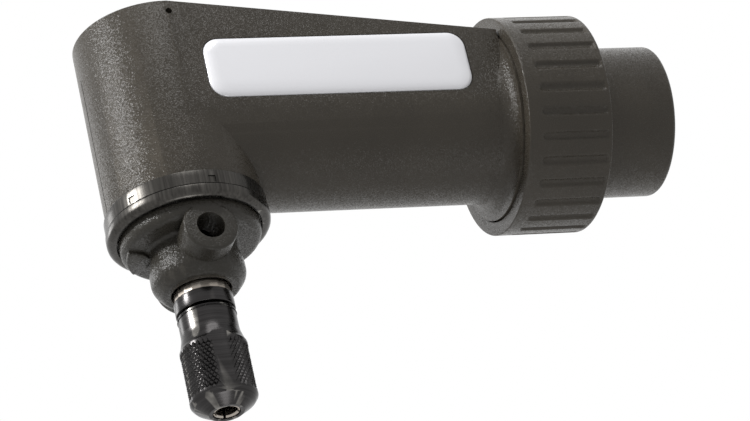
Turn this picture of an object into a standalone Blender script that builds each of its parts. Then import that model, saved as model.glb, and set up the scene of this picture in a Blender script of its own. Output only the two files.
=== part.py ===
"""Right angle attachment for a rotary tool: bevel gear head, indexing clamp ring and collet spindle.

World frame: the origin is the centre of the collar's rear face, +X runs out towards the tool, +Z is up
and the spindle points down. Lengths are in metres.
"""
import math

import bmesh
import bpy
from mathutils import Matrix, Vector

MM = 0.001

# Layout
RING_FRONT = 50.8 * MM       # spindle axis to the front of the clamp ring
RING_LENGTH = 13.4 * MM
COLLAR_TAIL = 12.5 * MM      # of the collar behind the clamp ring
REACH = RING_FRONT + RING_LENGTH + COLLAR_TAIL
SEAT = 0.10 * MM             # gap between two faces that seat on each other
FIT = 0.05 * MM              # radial gap of a piece held on or in another
RUN = 0.12 * MM              # radial gap of a piece that turns in another

# Facets round a full turn
ROUND_LARGE = 40
ROUND_MEDIUM = 28
ROUND_SMALL = 20
ROUND_TINY = 12
SHARP_ANGLE = math.radians(32)

# Housing
HEAD_RADIUS = 11.7 * MM
HEAD_RISE = 16.75 * MM       # drive axis up to the flat crown
HEAD_DROP = 12.6 * MM        # drive axis down to the mouth of the head
BARREL_RADIUS = 11.6 * MM
CROWN_SLOPE = math.radians(7.45)
FLARE_SWEEP = 2.7 * MM       # radius of the concave flare in front of the clamp ring
FLARE_SWEEP_END = 176        # degrees, a little short of level with the barrel
FLARE_RADIUS = BARREL_RADIUS + FLARE_SWEEP
FLARE_OVERLAP = 0.3 * MM
GEAR_CHAMBER_RADIUS = 8.1 * MM
PINION_CHAMBER_RADIUS = 8.3 * MM
CHAMBER_TOP = 10.9 * MM
MOULD_MARK_RADIUS = 0.5 * MM
MOULD_MARK_DEPTH = 0.4 * MM
MOULD_MARK_BELOW_CROWN = 1.8 * MM

# Blank badge
BADGE_LENGTH = RING_FRONT - 9.8 * MM
BADGE_HEIGHT = 10.1 * MM
BADGE_CENTRE_X = RING_FRONT / 2 - 1.05 * MM
BADGE_CENTRE_Z = 4.75 * MM
BADGE_CORNER = 2.6 * MM
BADGE_THICKNESS = 1.1 * MM
BADGE_POCKET = 0.5 * MM
BADGE_EDGE = 0.3 * MM

# Clamp ring, index ring and collar
RING_WALL = 2.16 * MM
RING_RADIUS = FLARE_RADIUS + RUN + RING_WALL
RING_LIP = 1.8 * MM
RING_EDGE = 0.5 * MM
GRIP_COUNT = 28              # finger grooves round the clamp ring
GRIP_SHARE = 0.41            # of the pitch
GRIP_DEPTH = 0.5 * MM
GRIP_SETBACK = 2.05 * MM
GRIP_TURN = math.radians(-4.6)
COLLAR_RADIUS = 11.5 * MM
COLLAR_FLANGE = FLARE_RADIUS - 0.9 * MM
COLLAR_FLANGE_THICKNESS = 2.0 * MM
COLLAR_EDGE = 0.7 * MM
COLLAR_THROAT = 8.0 * MM
TOOL_THREAD_RADIUS = 9.2 * MM
TOOL_THREAD_DEPTH = 11.5 * MM
INDEX_THICKNESS = 2.3 * MM
INDEX_OUTER = FLARE_RADIUS - 1.8 * MM
INDEX_INNER = INDEX_OUTER - 2.5 * MM
INDEX_NOTCHES = 12
INDEX_NOTCH_RADIUS = 0.7 * MM

# Ball bearings, all of one size
BEARING_BORE = 4.0 * MM
BEARING_OUTER = 9.5 * MM
BEARING_WIDTH = 6.0 * MM
RACE_WALL = 1.5 * MM
RACE_GROOVE = 0.4 * MM
BALL_RADIUS = 1.55 * MM
BALL_COUNT = 7
CAGE_HALF_WALL = 0.45 * MM
CAGE_HALF_WIDTH = 0.8 * MM
FRONT_BEARING = 10.6 * MM    # station of its front face
REAR_BEARING = RING_FRONT - 15.6 * MM
SPACER_LENGTH = REAR_BEARING - FRONT_BEARING - BEARING_WIDTH - 2 * SEAT
SPACER_WALL = 1.2 * MM
SPINDLE_BEARING = 8.6 * MM   # below the drive axis

# Bevel gear pair, equal wheels at right angles
GEAR_MODULE = 0.9 * MM
GEAR_TEETH = 16
GEAR_FACE = 3.0 * MM
GEAR_HUB = 5.0 * MM
GEAR_HUB_BACK = 10.2 * MM    # from the apex
GEAR_WEB = 4.4 * MM
PRESSURE_ANGLE = math.radians(20)
PITCH_CONE = math.radians(45)
ADDENDUM = 1.0               # in modules
DEDENDUM = 1.2
BACKLASH = 0.12 * MM
SPACE_OUTER = 1.12           # tooth space cutter's ends against the gear's large and small ends
SPACE_INNER = 0.9
SPACE_RISE = 1.8             # in addenda

# Drive shaft
SHAFT_NOSE = 2.5 * MM
SHAFT_FRONT = 5.0 * MM       # station of its front end
SHAFT_TAIL = 3.0 * MM
SHAFT_STEP = REAR_BEARING + BEARING_WIDTH + 1.4 * MM
SQUARE_START = RING_FRONT + 5.2 * MM
SQUARE_LENGTH = 12.0 * MM
SQUARE_FLATS = 3.4 * MM
CIRCLIP_THICKNESS = 0.9 * MM
CIRCLIP_DEPTH = 0.6 * MM
CIRCLIP_REACH = 1.5 * MM
CIRCLIP_GAP = math.radians(40)
SPRING_THICKNESS = 0.4 * MM
SPRING_RISE = 0.4 * MM
SEAL_THICKNESS = 2.0 * MM

# Bearing band under the head
BAND_RADIUS = 12.05 * MM
BAND_FOOT_RADIUS = 12.2 * MM
BAND_HEIGHT = 2.35 * MM
BAND_FOOT = 1.9 * MM
BAND_GROOVE = 0.15 * MM
BAND_RIM_CORNER = 1.0 * MM
BAND_LIP = 1.3 * MM
BAND_SPIGOT_RADIUS = 10.6 * MM
BAND_SPIGOT_LENGTH = 2.4 * MM
BAND_LIP_RADIUS = 6.4 * MM
NOTCH_COUNT = 6
NOTCH_SIZE = 1.1 * MM
NOTCH_DEPTH = 0.7 * MM
NOTCH_TURN = math.radians(-85)
NOTCH_BELOW = 1.55 * MM

# Nose cap
CAP_RADIUS = 10.5 * MM
CAP_DISC = 2.1 * MM          # visible height of the disc under the band
CAP_CORNER = 1.3 * MM
HUB_TOP_RADIUS = 6.5 * MM
HUB_FILLET = 0.75 * MM
HUB_RADIUS = 7.07 * MM
HUB_LENGTH = 7.35 * MM
HUB_END_RADIUS = 4.75 * MM
HUB_BULGE = 4.25 * MM        # from the disc's face down to the widest place
HUB_ROUND = 2.5 * MM
HUB_ROUND_SWEEP = 62         # degrees
CAP_CAVITY = 5.2 * MM
CAP_BORE_LENGTH = 2.0 * MM
LOCK_HOLE_RADIUS = 2.1 * MM
LOCK_HOLE_TURN = math.radians(-90)
LOCK_HOLE_DROP = 20.95 * MM
LOCK_BOSS_RADIUS = 4.05 * MM
LOCK_BOSS_REACHES = (10.4 * MM, 9.2 * MM)
LOCK_BOSS_EDGE = 0.35 * MM
LOCK_PIN_RADIUS = 1.9 * MM   # cross hole in the spindle
PAD_RADIUS = 3.2 * MM
PAD_CIRCLE = 9.5 * MM
PAD_LIMIT = 9.8 * MM
PAD_HEIGHT = 0.45 * MM
PAD_EDGE = 0.25 * MM
PAD_TURN = math.radians(161)
SCREW_TURNS = (LOCK_HOLE_TURN - math.pi / 2, LOCK_HOLE_TURN + math.pi / 2)
SCREW_CIRCLE = 8.35 * MM
SCREW_RADIUS = 0.9 * MM
SCREW_LENGTH = 3.7 * MM
SCREW_HEAD = 1.4 * MM
SCREW_HEAD_HEIGHT = 0.9 * MM
SLOT_WIDTH = 0.4 * MM
SLOT_DEPTH = 0.45 * MM

# Spindle, collet and nut
JOURNAL_RADIUS = 2.45 * MM
BUSH_WALL = 3.0 * MM
BUSH_LENGTH = 4.0 * MM
GEAR_SEAT = 3.0 * MM
SPINDLE_WAIST = 3.6 * MM
SPINDLE_SHOULDER = 5.2 * MM
SPINDLE_FLANGE = 1.0 * MM
SPINDLE_NECK = 4.2 * MM
NECK_START = 16.2 * MM       # below the drive axis
NECK_END = 27.6 * MM
THREAD_RADIUS = 3.57 * MM
SPINDLE_END = 37.5 * MM
SPINDLE_BORE = 2.25 * MM
SPINDLE_BORE_DEPTH = 5.0 * MM
SHOULDER_RING = 4.4 * MM
SHOULDER_RING_HEIGHT = 2.15 * MM
COLLET_TAIL = 2.1 * MM
COLLET_TAIL_LENGTH = 4.5 * MM
COLLET_HEAD = 2.9 * MM
COLLET_HEAD_LENGTH = 4.0 * MM
COLLET_CONE = 0.8 * MM
COLLET_NOSE = 1.95 * MM
COLLET_BORE = 1.6 * MM
COLLET_SLIT = 0.4 * MM
NUT_SHANK = 4.3 * MM
NUT_RADIUS = 5.0 * MM
NUT_FLATS = 9.2 * MM
NUT_FLAT_TURN = math.radians(-94)
NUT_FLAT_RUNOUT = 0.5 * MM
NUT_SHANK_LENGTH = 3.45 * MM
NUT_TAPER = 2.5 * MM
NUT_GRIP = 8.1 * MM
NUT_NOSE = 2.1 * MM
NUT_NOSE_RADIUS = 2.55 * MM
NUT_HOLE = 2.05 * MM

# Stations worked out from the sizes above, along the drive axis from the spindle axis
BARREL_END = RING_FRONT - 3 * SEAT
COLLAR_FRONT = RING_FRONT + RING_LENGTH - RING_LIP - SEAT - COLLAR_FLANGE_THICKNESS
SPIGOT_END = COLLAR_FRONT - SEAT
INDEX_SEAT = SPIGOT_END - INDEX_THICKNESS - SEAT
SPRING_START = REAR_BEARING + BEARING_WIDTH + SEAT
CIRCLIP_START = SPRING_START + SPRING_THICKNESS + SPRING_RISE + SEAT
SEAL_START = CIRCLIP_START + CIRCLIP_THICKNESS + 4 * SEAT
BEARING_SEAT = BEARING_OUTER + SEAT

# Bevel gear sizes from the apex, where both axes cross
CONE_DISTANCE = GEAR_MODULE * GEAR_TEETH / 2 / math.sin(PITCH_CONE)
SMALL_END = 1 - GEAR_FACE / CONE_DISTANCE
TIP_RADIUS = (CONE_DISTANCE + ADDENDUM * GEAR_MODULE / math.tan(PITCH_CONE)) * math.sin(PITCH_CONE)
TIP_HEIGHT = CONE_DISTANCE * math.cos(PITCH_CONE) - ADDENDUM * GEAR_MODULE * math.sin(PITCH_CONE)
WEB_HEIGHT = SMALL_END * TIP_HEIGHT + (SMALL_END * TIP_RADIUS - GEAR_WEB) * math.tan(PITCH_CONE)
HUB_HEIGHT = TIP_HEIGHT + (TIP_RADIUS - GEAR_HUB) * math.tan(PITCH_CONE)

# Levels below the drive axis
BAND_TOP = HEAD_DROP + SEAT
SPIGOT_TOP = BAND_TOP - BAND_SPIGOT_LENGTH
SPIGOT_POCKET = SPIGOT_TOP - SEAT
BAND_BOTTOM = BAND_TOP + BAND_HEIGHT + BAND_FOOT
BEARING_BOTTOM = SPINDLE_BEARING + BEARING_WIDTH
LIP_TOP = BEARING_BOTTOM + SEAT
CAP_TOP = LIP_TOP + BAND_LIP + SEAT
CAP_FACE = BAND_BOTTOM + CAP_DISC
HUB_END = CAP_FACE + HUB_LENGTH
NUT_TOP = NECK_END + SHOULDER_RING_HEIGHT + 2 * SEAT
NUT_END = NUT_TOP + NUT_SHANK_LENGTH + NUT_TAPER + NUT_GRIP + NUT_NOSE


def make_material(name, color, roughness, metallic):
    """A Principled material of one colour."""
    material = bpy.data.materials.new(name)
    material.use_nodes = True
    shader = material.node_tree.nodes["Principled BSDF"]
    shader.inputs["Base Color"].default_value = (*color, 1.0)
    shader.inputs["Roughness"].default_value = roughness
    shader.inputs["Metallic"].default_value = metallic
    material.diffuse_color = (*color, 1.0)
    return material


def clear_scene():
    for old in list(bpy.data.objects):
        bpy.data.objects.remove(old, do_unlink=True)


def new_collection(name):
    collection = bpy.data.collections.new(name)
    bpy.context.scene.collection.children.link(collection)
    return collection


clear_scene()
PARTS = new_collection("right_angle_attachment")
TOOLS = new_collection("cutters")
TOOLS.hide_render = True

CHARCOAL = make_material("charcoal_plastic", (0.047, 0.045, 0.038), 0.55, 0.0)
CAP_GREY = make_material("cap_plastic", (0.055, 0.053, 0.046), 0.45, 0.0)
WHITE = make_material("badge_white", (0.85, 0.85, 0.84), 0.25, 0.0)
BAND_STEEL = make_material("band_steel", (0.14, 0.14, 0.14), 0.3, 0.9)
BRIGHT_STEEL = make_material("bright_steel", (0.55, 0.52, 0.48), 0.25, 1.0)
BLACK_STEEL = make_material("black_steel", (0.08, 0.08, 0.085), 0.3, 0.9)
GEAR_STEEL = make_material("gear_steel", (0.36, 0.35, 0.34), 0.35, 1.0)
BRONZE = make_material("bronze", (0.45, 0.3, 0.16), 0.4, 1.0)
SPRING_STEEL = make_material("spring_steel", (0.25, 0.26, 0.28), 0.3, 1.0)
FELT = make_material("felt", (0.2, 0.19, 0.17), 0.95, 0.0)


def axis_empty(name, turn_y):
    """An empty where the drive axis crosses the spindle axis, its local Z along one of them."""
    empty = bpy.data.objects.new(name, None)
    empty.empty_display_size = 0.01
    empty.location = (-REACH, 0.0, 0.0)
    empty.rotation_euler = (0.0, turn_y, 0.0)
    PARTS.objects.link(empty)
    return empty


SPINDLE_LINE = axis_empty("spindle_line", 0.0)
DRIVE_LINE = axis_empty("drive_line", math.radians(90))


def place(name, mesh, line, material=None):
    """An object of this mesh on an axis. Without a material it is a cutter."""
    obj = bpy.data.objects.new(name, mesh)
    obj.parent = line
    if material is None:
        TOOLS.objects.link(obj)
        obj.hide_render = True
        obj.display_type = "WIRE"
    else:
        PARTS.objects.link(obj)
        mesh.materials.append(material)
    return obj


def turned(name, profile, line, material=None, segments=ROUND_MEDIUM):
    """A turned piece. The profile's points run down the outer side, then back up the bore."""
    mesh = bpy.data.meshes.new(name)
    count = len(profile)
    solid = profile[0][0] == 0.0 and profile[-1][0] == 0.0
    edges = [(i, (i + 1) % count) for i in range(count - 1 if solid else count)]
    mesh.from_pydata([(radius, 0.0, height) for radius, height in profile], edges, [])
    obj = place(name, mesh, line, material)
    screw = obj.modifiers.new("turn", "SCREW")
    screw.axis = "Z"
    screw.angle = math.tau
    screw.steps = segments
    screw.render_steps = segments
    screw.use_merge_vertices = True
    screw.merge_threshold = 1e-7
    return obj


def mesh_from(name, build):
    """A mesh filled by a function that works on a bmesh."""
    mesh = bpy.data.meshes.new(name)
    bm = bmesh.new()
    build(bm)
    bmesh.ops.recalc_face_normals(bm, faces=bm.faces)
    bm.to_mesh(mesh)
    bm.free()
    return mesh


def box(name, low, high, line, turn=0.0):
    """A cutter with the shape of a box between two corners, turned about the axis that carries it."""
    low = Vector(low)
    high = Vector(high)

    def build(bm):
        bmesh.ops.create_cube(bm, size=1.0)
        bmesh.ops.scale(bm, vec=high - low, verts=bm.verts)
        bmesh.ops.translate(bm, vec=(low + high) / 2, verts=bm.verts)
        bmesh.ops.rotate(bm, matrix=Matrix.Rotation(turn, 3, "Z"), verts=bm.verts)

    return place(name, mesh_from(name, build), line)


def rod(name, radius, start, end, line, material=None, segments=ROUND_SMALL):
    """A cylinder between two points."""
    start = Vector(start)
    end = Vector(end)
    along = end - start
    turn = along.to_track_quat("Z", "Y").to_matrix()

    def build(bm):
        bmesh.ops.create_cone(
            bm, cap_ends=True, segments=segments, radius1=radius, radius2=radius, depth=along.length
        )
        bmesh.ops.rotate(bm, matrix=turn, verts=bm.verts)
        bmesh.ops.translate(bm, vec=(start + end) / 2, verts=bm.verts)

    return place(name, mesh_from(name, build), line, material)


def boolean(obj, other, operation):
    modifier = obj.modifiers.new(other.name, "BOOLEAN")
    modifier.operation = operation
    modifier.solver = "EXACT"
    modifier.object = other


def cut(obj, *cutters):
    for cutter in cutters:
        boolean(obj, cutter, "DIFFERENCE")


def join(obj, *others):
    for other in others:
        boolean(obj, other, "UNION")


def round_edges(obj, width, segments):
    modifier = obj.modifiers.new("edge", "BEVEL")
    modifier.width = width
    modifier.segments = segments
    modifier.limit_method = "ANGLE"
    modifier.angle_limit = math.radians(60)


def polar(radius, turn, height=0.0):
    return Vector((radius * math.cos(turn), radius * math.sin(turn), height))


def arc(centre, radius, start, end, steps):
    """Points of an arc in the profile plane, angles in degrees from the radial direction."""
    points = []
    for i in range(steps + 1):
        angle = math.radians(start + (end - start) * i / steps)
        points.append((centre[0] + radius * math.cos(angle), centre[1] + radius * math.sin(angle)))
    return points


def make_housing():
    """The moulded housing: head, barrel with a sloping crown, and flare, bored both ways."""
    body = rod(
        "main_housing",
        HEAD_RADIUS,
        (0, 0, -HEAD_DROP),
        (0, 0, HEAD_RISE),
        SPINDLE_LINE,
        CHARCOAL,
        ROUND_LARGE,
    )

    def barrel(bm):
        lower = [math.pi + math.pi * i / (ROUND_LARGE // 2) for i in range(ROUND_LARGE // 2 + 1)]
        outline = [(0.0, BARREL_RADIUS * math.cos(a), BARREL_RADIUS * math.sin(a)) for a in lower]
        outline += [(0.0, BARREL_RADIUS, HEAD_RISE), (0.0, -BARREL_RADIUS, HEAD_RISE)]
        face = bm.faces.new([bm.verts.new(point) for point in outline])
        grown = bmesh.ops.extrude_face_region(bm, geom=[face])["geom"]
        moved = [item for item in grown if isinstance(item, bmesh.types.BMVert)]
        bmesh.ops.translate(bm, vec=(BARREL_END, 0, 0), verts=moved)

    def crown(bm):
        bmesh.ops.create_cube(bm, size=1.0)
        size = Vector((2 * REACH, 4 * HEAD_RADIUS, HEAD_RISE))
        bmesh.ops.scale(bm, vec=size, verts=bm.verts)
        bmesh.ops.translate(bm, vec=(size.x / 2, 0, size.z / 2), verts=bm.verts)
        bmesh.ops.rotate(bm, matrix=Matrix.Rotation(CROWN_SLOPE, 3, "Y"), verts=bm.verts)
        bmesh.ops.translate(bm, vec=(0, 0, HEAD_RISE), verts=bm.verts)

    sweep_start = BARREL_END - FLARE_SWEEP
    flare = turned(
        "flare",
        [(0.0, SPIGOT_END), (FLARE_RADIUS, SPIGOT_END)]
        + arc((FLARE_RADIUS, sweep_start), FLARE_SWEEP, 90, FLARE_SWEEP_END, 5)
        + [
            (BARREL_RADIUS - FLARE_OVERLAP, sweep_start - FLARE_SWEEP),
            (0.0, sweep_start - FLARE_SWEEP),
        ],
        DRIVE_LINE,
        segments=ROUND_LARGE,
    )
    spindle_bore = turned(
        "spindle_bore",
        [
            (0.0, CHAMBER_TOP + BUSH_LENGTH + SEAT),
            (JOURNAL_RADIUS + BUSH_WALL + FIT + FIT, CHAMBER_TOP + BUSH_LENGTH + SEAT),
            (JOURNAL_RADIUS + BUSH_WALL + FIT + FIT, CHAMBER_TOP),
            (GEAR_CHAMBER_RADIUS, CHAMBER_TOP),
            (GEAR_CHAMBER_RADIUS, SEAT - SPINDLE_BEARING),
            (BEARING_SEAT, SEAT - SPINDLE_BEARING),
            (BEARING_SEAT, -SPIGOT_POCKET),
            (BAND_SPIGOT_RADIUS + SEAT, -SPIGOT_POCKET),
            (BAND_SPIGOT_RADIUS + SEAT, -HEAD_DROP - MM),
            (0.0, -HEAD_DROP - MM),
        ],
        SPINDLE_LINE,
    )
    groove = CIRCLIP_START + CIRCLIP_THICKNESS + SEAT
    drive_bore = turned(
        "drive_bore",
        [
            (0.0, SPIGOT_END + MM),
            (INDEX_OUTER + RUN, SPIGOT_END + MM),
            (INDEX_OUTER + RUN, INDEX_SEAT),
            (BEARING_SEAT, INDEX_SEAT),
            (BEARING_SEAT, groove),
            (BEARING_SEAT + CIRCLIP_DEPTH, groove),
            (BEARING_SEAT + CIRCLIP_DEPTH, CIRCLIP_START - SEAT),
            (BEARING_SEAT, CIRCLIP_START - SEAT),
            (BEARING_SEAT, FRONT_BEARING - SEAT),
            (PINION_CHAMBER_RADIUS, FRONT_BEARING - SEAT),
            (PINION_CHAMBER_RADIUS, 0.0),
            (0.0, 0.0),
        ],
        DRIVE_LINE,
    )
    mark_height = HEAD_RISE - MOULD_MARK_BELOW_CROWN
    mould_mark = rod(
        "mould_mark",
        MOULD_MARK_RADIUS,
        (0, -HEAD_RADIUS - MM, mark_height),
        (0, -HEAD_RADIUS + MOULD_MARK_DEPTH, mark_height),
        SPINDLE_LINE,
        segments=10,
    )
    pocket = badge_plate("badge_pocket", SEAT, BARREL_RADIUS - BADGE_POCKET, 3 * MM, None)
    join(body, place("barrel", mesh_from("barrel", barrel), SPINDLE_LINE))
    cut(body, place("crown_slope", mesh_from("crown_slope", crown), SPINDLE_LINE))
    join(body, flare)
    cut(body, spindle_bore, drive_bore, mould_mark, pocket)


def badge_plate(name, margin, depth, thickness, material):
    """A plate with round corners on the barrel's near side, standing out from the given depth."""

    def build(bm):
        bmesh.ops.create_cube(bm, size=1.0)
        size = Vector((BADGE_LENGTH + 2 * margin, thickness, BADGE_HEIGHT + 2 * margin))
        middle = Vector((BADGE_CENTRE_X, -depth - thickness / 2, BADGE_CENTRE_Z))
        bmesh.ops.scale(bm, vec=size, verts=bm.verts)
        bmesh.ops.translate(bm, vec=middle, verts=bm.verts)
        corners = [e for e in bm.edges if abs(e.verts[0].co.y - e.verts[1].co.y) > thickness / 2]
        bmesh.ops.bevel(
            bm, geom=corners, offset=BADGE_CORNER + margin, segments=5, profile=0.5, affect="EDGES"
        )

    return place(name, mesh_from(name, build), SPINDLE_LINE, material)


def make_badge():
    badge = badge_plate(
        "name_badge", 0.0, BARREL_RADIUS - BADGE_POCKET + SEAT, BADGE_THICKNESS - SEAT, WHITE
    )
    round_edges(badge, BADGE_EDGE, 2)


def grip_cutters(bm):
    """The finger grooves of the clamp ring, each with a rounded front and open at the rear."""
    width = math.tau * RING_RADIUS / GRIP_COUNT * GRIP_SHARE
    low = Vector((RING_RADIUS - GRIP_DEPTH, -width / 2, RING_FRONT + GRIP_SETBACK))
    high = Vector((RING_RADIUS + MM, width / 2, RING_FRONT + RING_LENGTH + MM))
    rounded = 0.46 * width
    corners = [
        (low.y, high.z),
        (low.y, low.z + rounded),
        (low.y + 0.3 * rounded, low.z + 0.3 * rounded),
        (low.y + rounded, low.z),
        (high.y - rounded, low.z),
        (high.y - 0.3 * rounded, low.z + 0.3 * rounded),
        (high.y, low.z + rounded),
        (high.y, high.z),
    ]
    for i in range(GRIP_COUNT):
        face = bm.faces.new([bm.verts.new((low.x, y, z)) for y, z in corners])
        grown = bmesh.ops.extrude_face_region(bm, geom=[face])["geom"]
        moved = [item for item in grown if isinstance(item, bmesh.types.BMVert)]
        bmesh.ops.translate(bm, vec=(high.x - low.x, 0, 0), verts=moved)
        turn = Matrix.Rotation(math.tau * (i + 0.25) / GRIP_COUNT, 3, "Z")
        bmesh.ops.rotate(bm, matrix=turn, verts=list(face.verts) + moved)


def make_clamp():
    """The grooved clamp ring, the index ring in the spigot and the collar that screws on the tool."""
    bore = FLARE_RADIUS + RUN
    rear = RING_FRONT + RING_LENGTH
    ring = turned(
        "coupling_ring",
        [
            (RING_RADIUS - RING_EDGE, rear),
            (RING_RADIUS, rear - RING_EDGE),
            (RING_RADIUS, RING_FRONT + RING_EDGE),
            (RING_RADIUS - 0.3 * RING_EDGE, RING_FRONT + 0.3 * RING_EDGE),
            (RING_RADIUS - RING_EDGE, RING_FRONT),
            (bore, RING_FRONT),
            (bore, rear - RING_LIP),
            (COLLAR_RADIUS + RUN, rear - RING_LIP),
            (COLLAR_RADIUS + RUN, rear),
        ],
        DRIVE_LINE,
        CHARCOAL,
        segments=2 * GRIP_COUNT,
    )
    grips = place("grips", mesh_from("grips", grip_cutters), DRIVE_LINE)
    for obj in (ring, grips):
        obj.rotation_euler.z = GRIP_TURN
    cut(ring, grips)
    turned(
        "tail_collar",
        [
            (COLLAR_RADIUS - COLLAR_EDGE, REACH),
            (COLLAR_RADIUS - 0.3 * COLLAR_EDGE, REACH - 0.3 * COLLAR_EDGE),
            (COLLAR_RADIUS, REACH - COLLAR_EDGE),
            (COLLAR_RADIUS, COLLAR_FRONT + COLLAR_FLANGE_THICKNESS),
            (COLLAR_FLANGE, COLLAR_FRONT + COLLAR_FLANGE_THICKNESS),
            (COLLAR_FLANGE, COLLAR_FRONT),
            (COLLAR_THROAT, COLLAR_FRONT),
            (COLLAR_THROAT, REACH - TOOL_THREAD_DEPTH),
            (TOOL_THREAD_RADIUS, REACH - TOOL_THREAD_DEPTH),
            (TOOL_THREAD_RADIUS, REACH - COLLAR_EDGE),
            (TOOL_THREAD_RADIUS + COLLAR_EDGE, REACH),
        ],
        DRIVE_LINE,
        CHARCOAL,
        segments=ROUND_LARGE,
    )
    index_ring = turned(
        "index_ring",
        [
            (INDEX_OUTER, SPIGOT_END - SEAT),
            (INDEX_OUTER, INDEX_SEAT + SEAT),
            (INDEX_INNER, INDEX_SEAT + SEAT),
            (INDEX_INNER, SPIGOT_END - SEAT),
        ],
        DRIVE_LINE,
        BLACK_STEEL,
        segments=2 * INDEX_NOTCHES,
    )

    def notches(bm):
        for i in range(INDEX_NOTCHES):
            made = bmesh.ops.create_cone(
                bm,
                cap_ends=True,
                segments=6,
                radius1=INDEX_NOTCH_RADIUS,
                radius2=INDEX_NOTCH_RADIUS,
                depth=2 * (INDEX_OUTER - INDEX_INNER),
            )["verts"]
            bmesh.ops.rotate(bm, matrix=Matrix.Rotation(math.radians(90), 3, "Y"), verts=made)
            middle = ((INDEX_INNER + INDEX_OUTER) / 2, 0, SPIGOT_END + 0.3 * INDEX_NOTCH_RADIUS)
            bmesh.ops.translate(bm, vec=middle, verts=made)
            turn = Matrix.Rotation(math.tau * (i + 0.5) / INDEX_NOTCHES, 3, "Z")
            bmesh.ops.rotate(bm, matrix=turn, verts=made)

    cut(index_ring, place("index_notches", mesh_from("index_notches", notches), DRIVE_LINE))


def make_bearing(name, line, low):
    """A ball bearing as three pieces: both races, and the cage with its balls."""
    middle = low + BEARING_WIDTH / 2
    high = low + BEARING_WIDTH
    pitch = (BEARING_BORE + BEARING_OUTER) / 2
    swing = BALL_RADIUS + RUN
    outer_land = BEARING_OUTER - RACE_WALL
    inner_land = BEARING_BORE + RACE_WALL
    half_outer = math.degrees(math.acos((outer_land - pitch) / swing))
    half_inner = math.degrees(math.acos((pitch - inner_land) / swing))
    turned(
        name + "_outer_race",
        [(BEARING_OUTER, high), (BEARING_OUTER, low), (outer_land, low)]
        + arc((pitch, middle), swing, -half_outer, half_outer, 2)
        + [(outer_land, high)],
        line,
        GEAR_STEEL,
        segments=ROUND_SMALL,
    )
    turned(
        name + "_inner_race",
        [(inner_land, high)]
        + arc((pitch, middle), swing, 180 - half_inner, 180 + half_inner, 2)
        + [(inner_land, low), (BEARING_BORE + FIT, low), (BEARING_BORE + FIT, high)],
        line,
        GEAR_STEEL,
        segments=ROUND_SMALL,
    )
    cage = turned(
        name + "_cage",
        [
            (pitch + CAGE_HALF_WALL, middle + CAGE_HALF_WIDTH),
            (pitch + CAGE_HALF_WALL, middle - CAGE_HALF_WIDTH),
            (pitch - CAGE_HALF_WALL, middle - CAGE_HALF_WIDTH),
            (pitch - CAGE_HALF_WALL, middle + CAGE_HALF_WIDTH),
        ],
        line,
        BRONZE,
        segments=2 * BALL_COUNT,
    )

    def balls(bm):
        for i in range(BALL_COUNT):
            made = bmesh.ops.create_uvsphere(bm, u_segments=8, v_segments=4, radius=BALL_RADIUS)
            centre = polar(pitch, math.tau * (i + 0.5) / BALL_COUNT, middle)
            bmesh.ops.translate(bm, vec=centre, verts=made["verts"])

    join(cage, place(name + "_balls", mesh_from(name + "_balls", balls), line))


def make_bevel_gear(name, line, bore, phase):
    """A straight bevel gear: a turned blank with involute tooth spaces that taper to the apex."""
    sine = math.sin(PITCH_CONE)
    cosine = math.cos(PITCH_CONE)
    blank = turned(
        name,
        [
            (GEAR_HUB, GEAR_HUB_BACK),
            (GEAR_HUB, HUB_HEIGHT),
            (TIP_RADIUS, TIP_HEIGHT),
            (SMALL_END * TIP_RADIUS, SMALL_END * TIP_HEIGHT),
            (GEAR_WEB, WEB_HEIGHT),
            (bore + FIT, WEB_HEIGHT),
            (bore + FIT, GEAR_HUB_BACK),
        ],
        line,
        GEAR_STEEL,
        segments=2 * GEAR_TEETH,
    )
    back_radius = CONE_DISTANCE * sine / cosine
    base_radius = back_radius * math.cos(PRESSURE_ANGLE)
    tooth_half = math.pi / 2 / (GEAR_TEETH / cosine) - BACKLASH / 4 / back_radius

    def involute(angle):
        return math.tan(angle) - angle

    def space_half(height):
        """Half the angle of a tooth space, at a height over the pitch cone."""
        radius = max(back_radius + height, base_radius)
        flank = tooth_half + involute(PRESSURE_ANGLE) - involute(math.acos(base_radius / radius))
        return math.pi / GEAR_TEETH - flank / cosine

    def direction(height, side, width_height):
        polar_angle = PITCH_CONE + math.atan(height / CONE_DISTANCE)
        turn = side * space_half(width_height)
        flat = math.sin(polar_angle)
        return Vector((flat * math.cos(turn), flat * math.sin(turn), math.cos(polar_angle)))

    addendum = ADDENDUM * GEAR_MODULE
    dedendum = DEDENDUM * GEAR_MODULE
    levels = [(-dedendum, -dedendum), (0.0, 0.0), (addendum, addendum)]
    levels.append((SPACE_RISE * addendum, addendum))
    outline = [direction(height, 1, width) for height, width in levels]
    outline += [direction(height, -1, width) for height, width in reversed(levels)]
    middle = Vector((sine, 0.0, cosine))

    def spaces(bm):
        for i in range(GEAR_TEETH):
            corners = [d * (SPACE_OUTER * CONE_DISTANCE / d.dot(middle)) for d in outline]
            face = bm.faces.new([bm.verts.new(corner) for corner in corners])
            grown = bmesh.ops.extrude_face_region(bm, geom=[face])["geom"]
            moved = [item for item in grown if isinstance(item, bmesh.types.BMVert)]
            for vert in moved:
                vert.co *= SPACE_INNER * SMALL_END / SPACE_OUTER
            made = list(face.verts) + moved
            turn = phase + math.tau * i / GEAR_TEETH
            bmesh.ops.rotate(bm, matrix=Matrix.Rotation(turn, 3, "Z"), verts=made)

    cut(blank, place(name + "_spaces", mesh_from(name + "_spaces", spaces), line))


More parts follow.
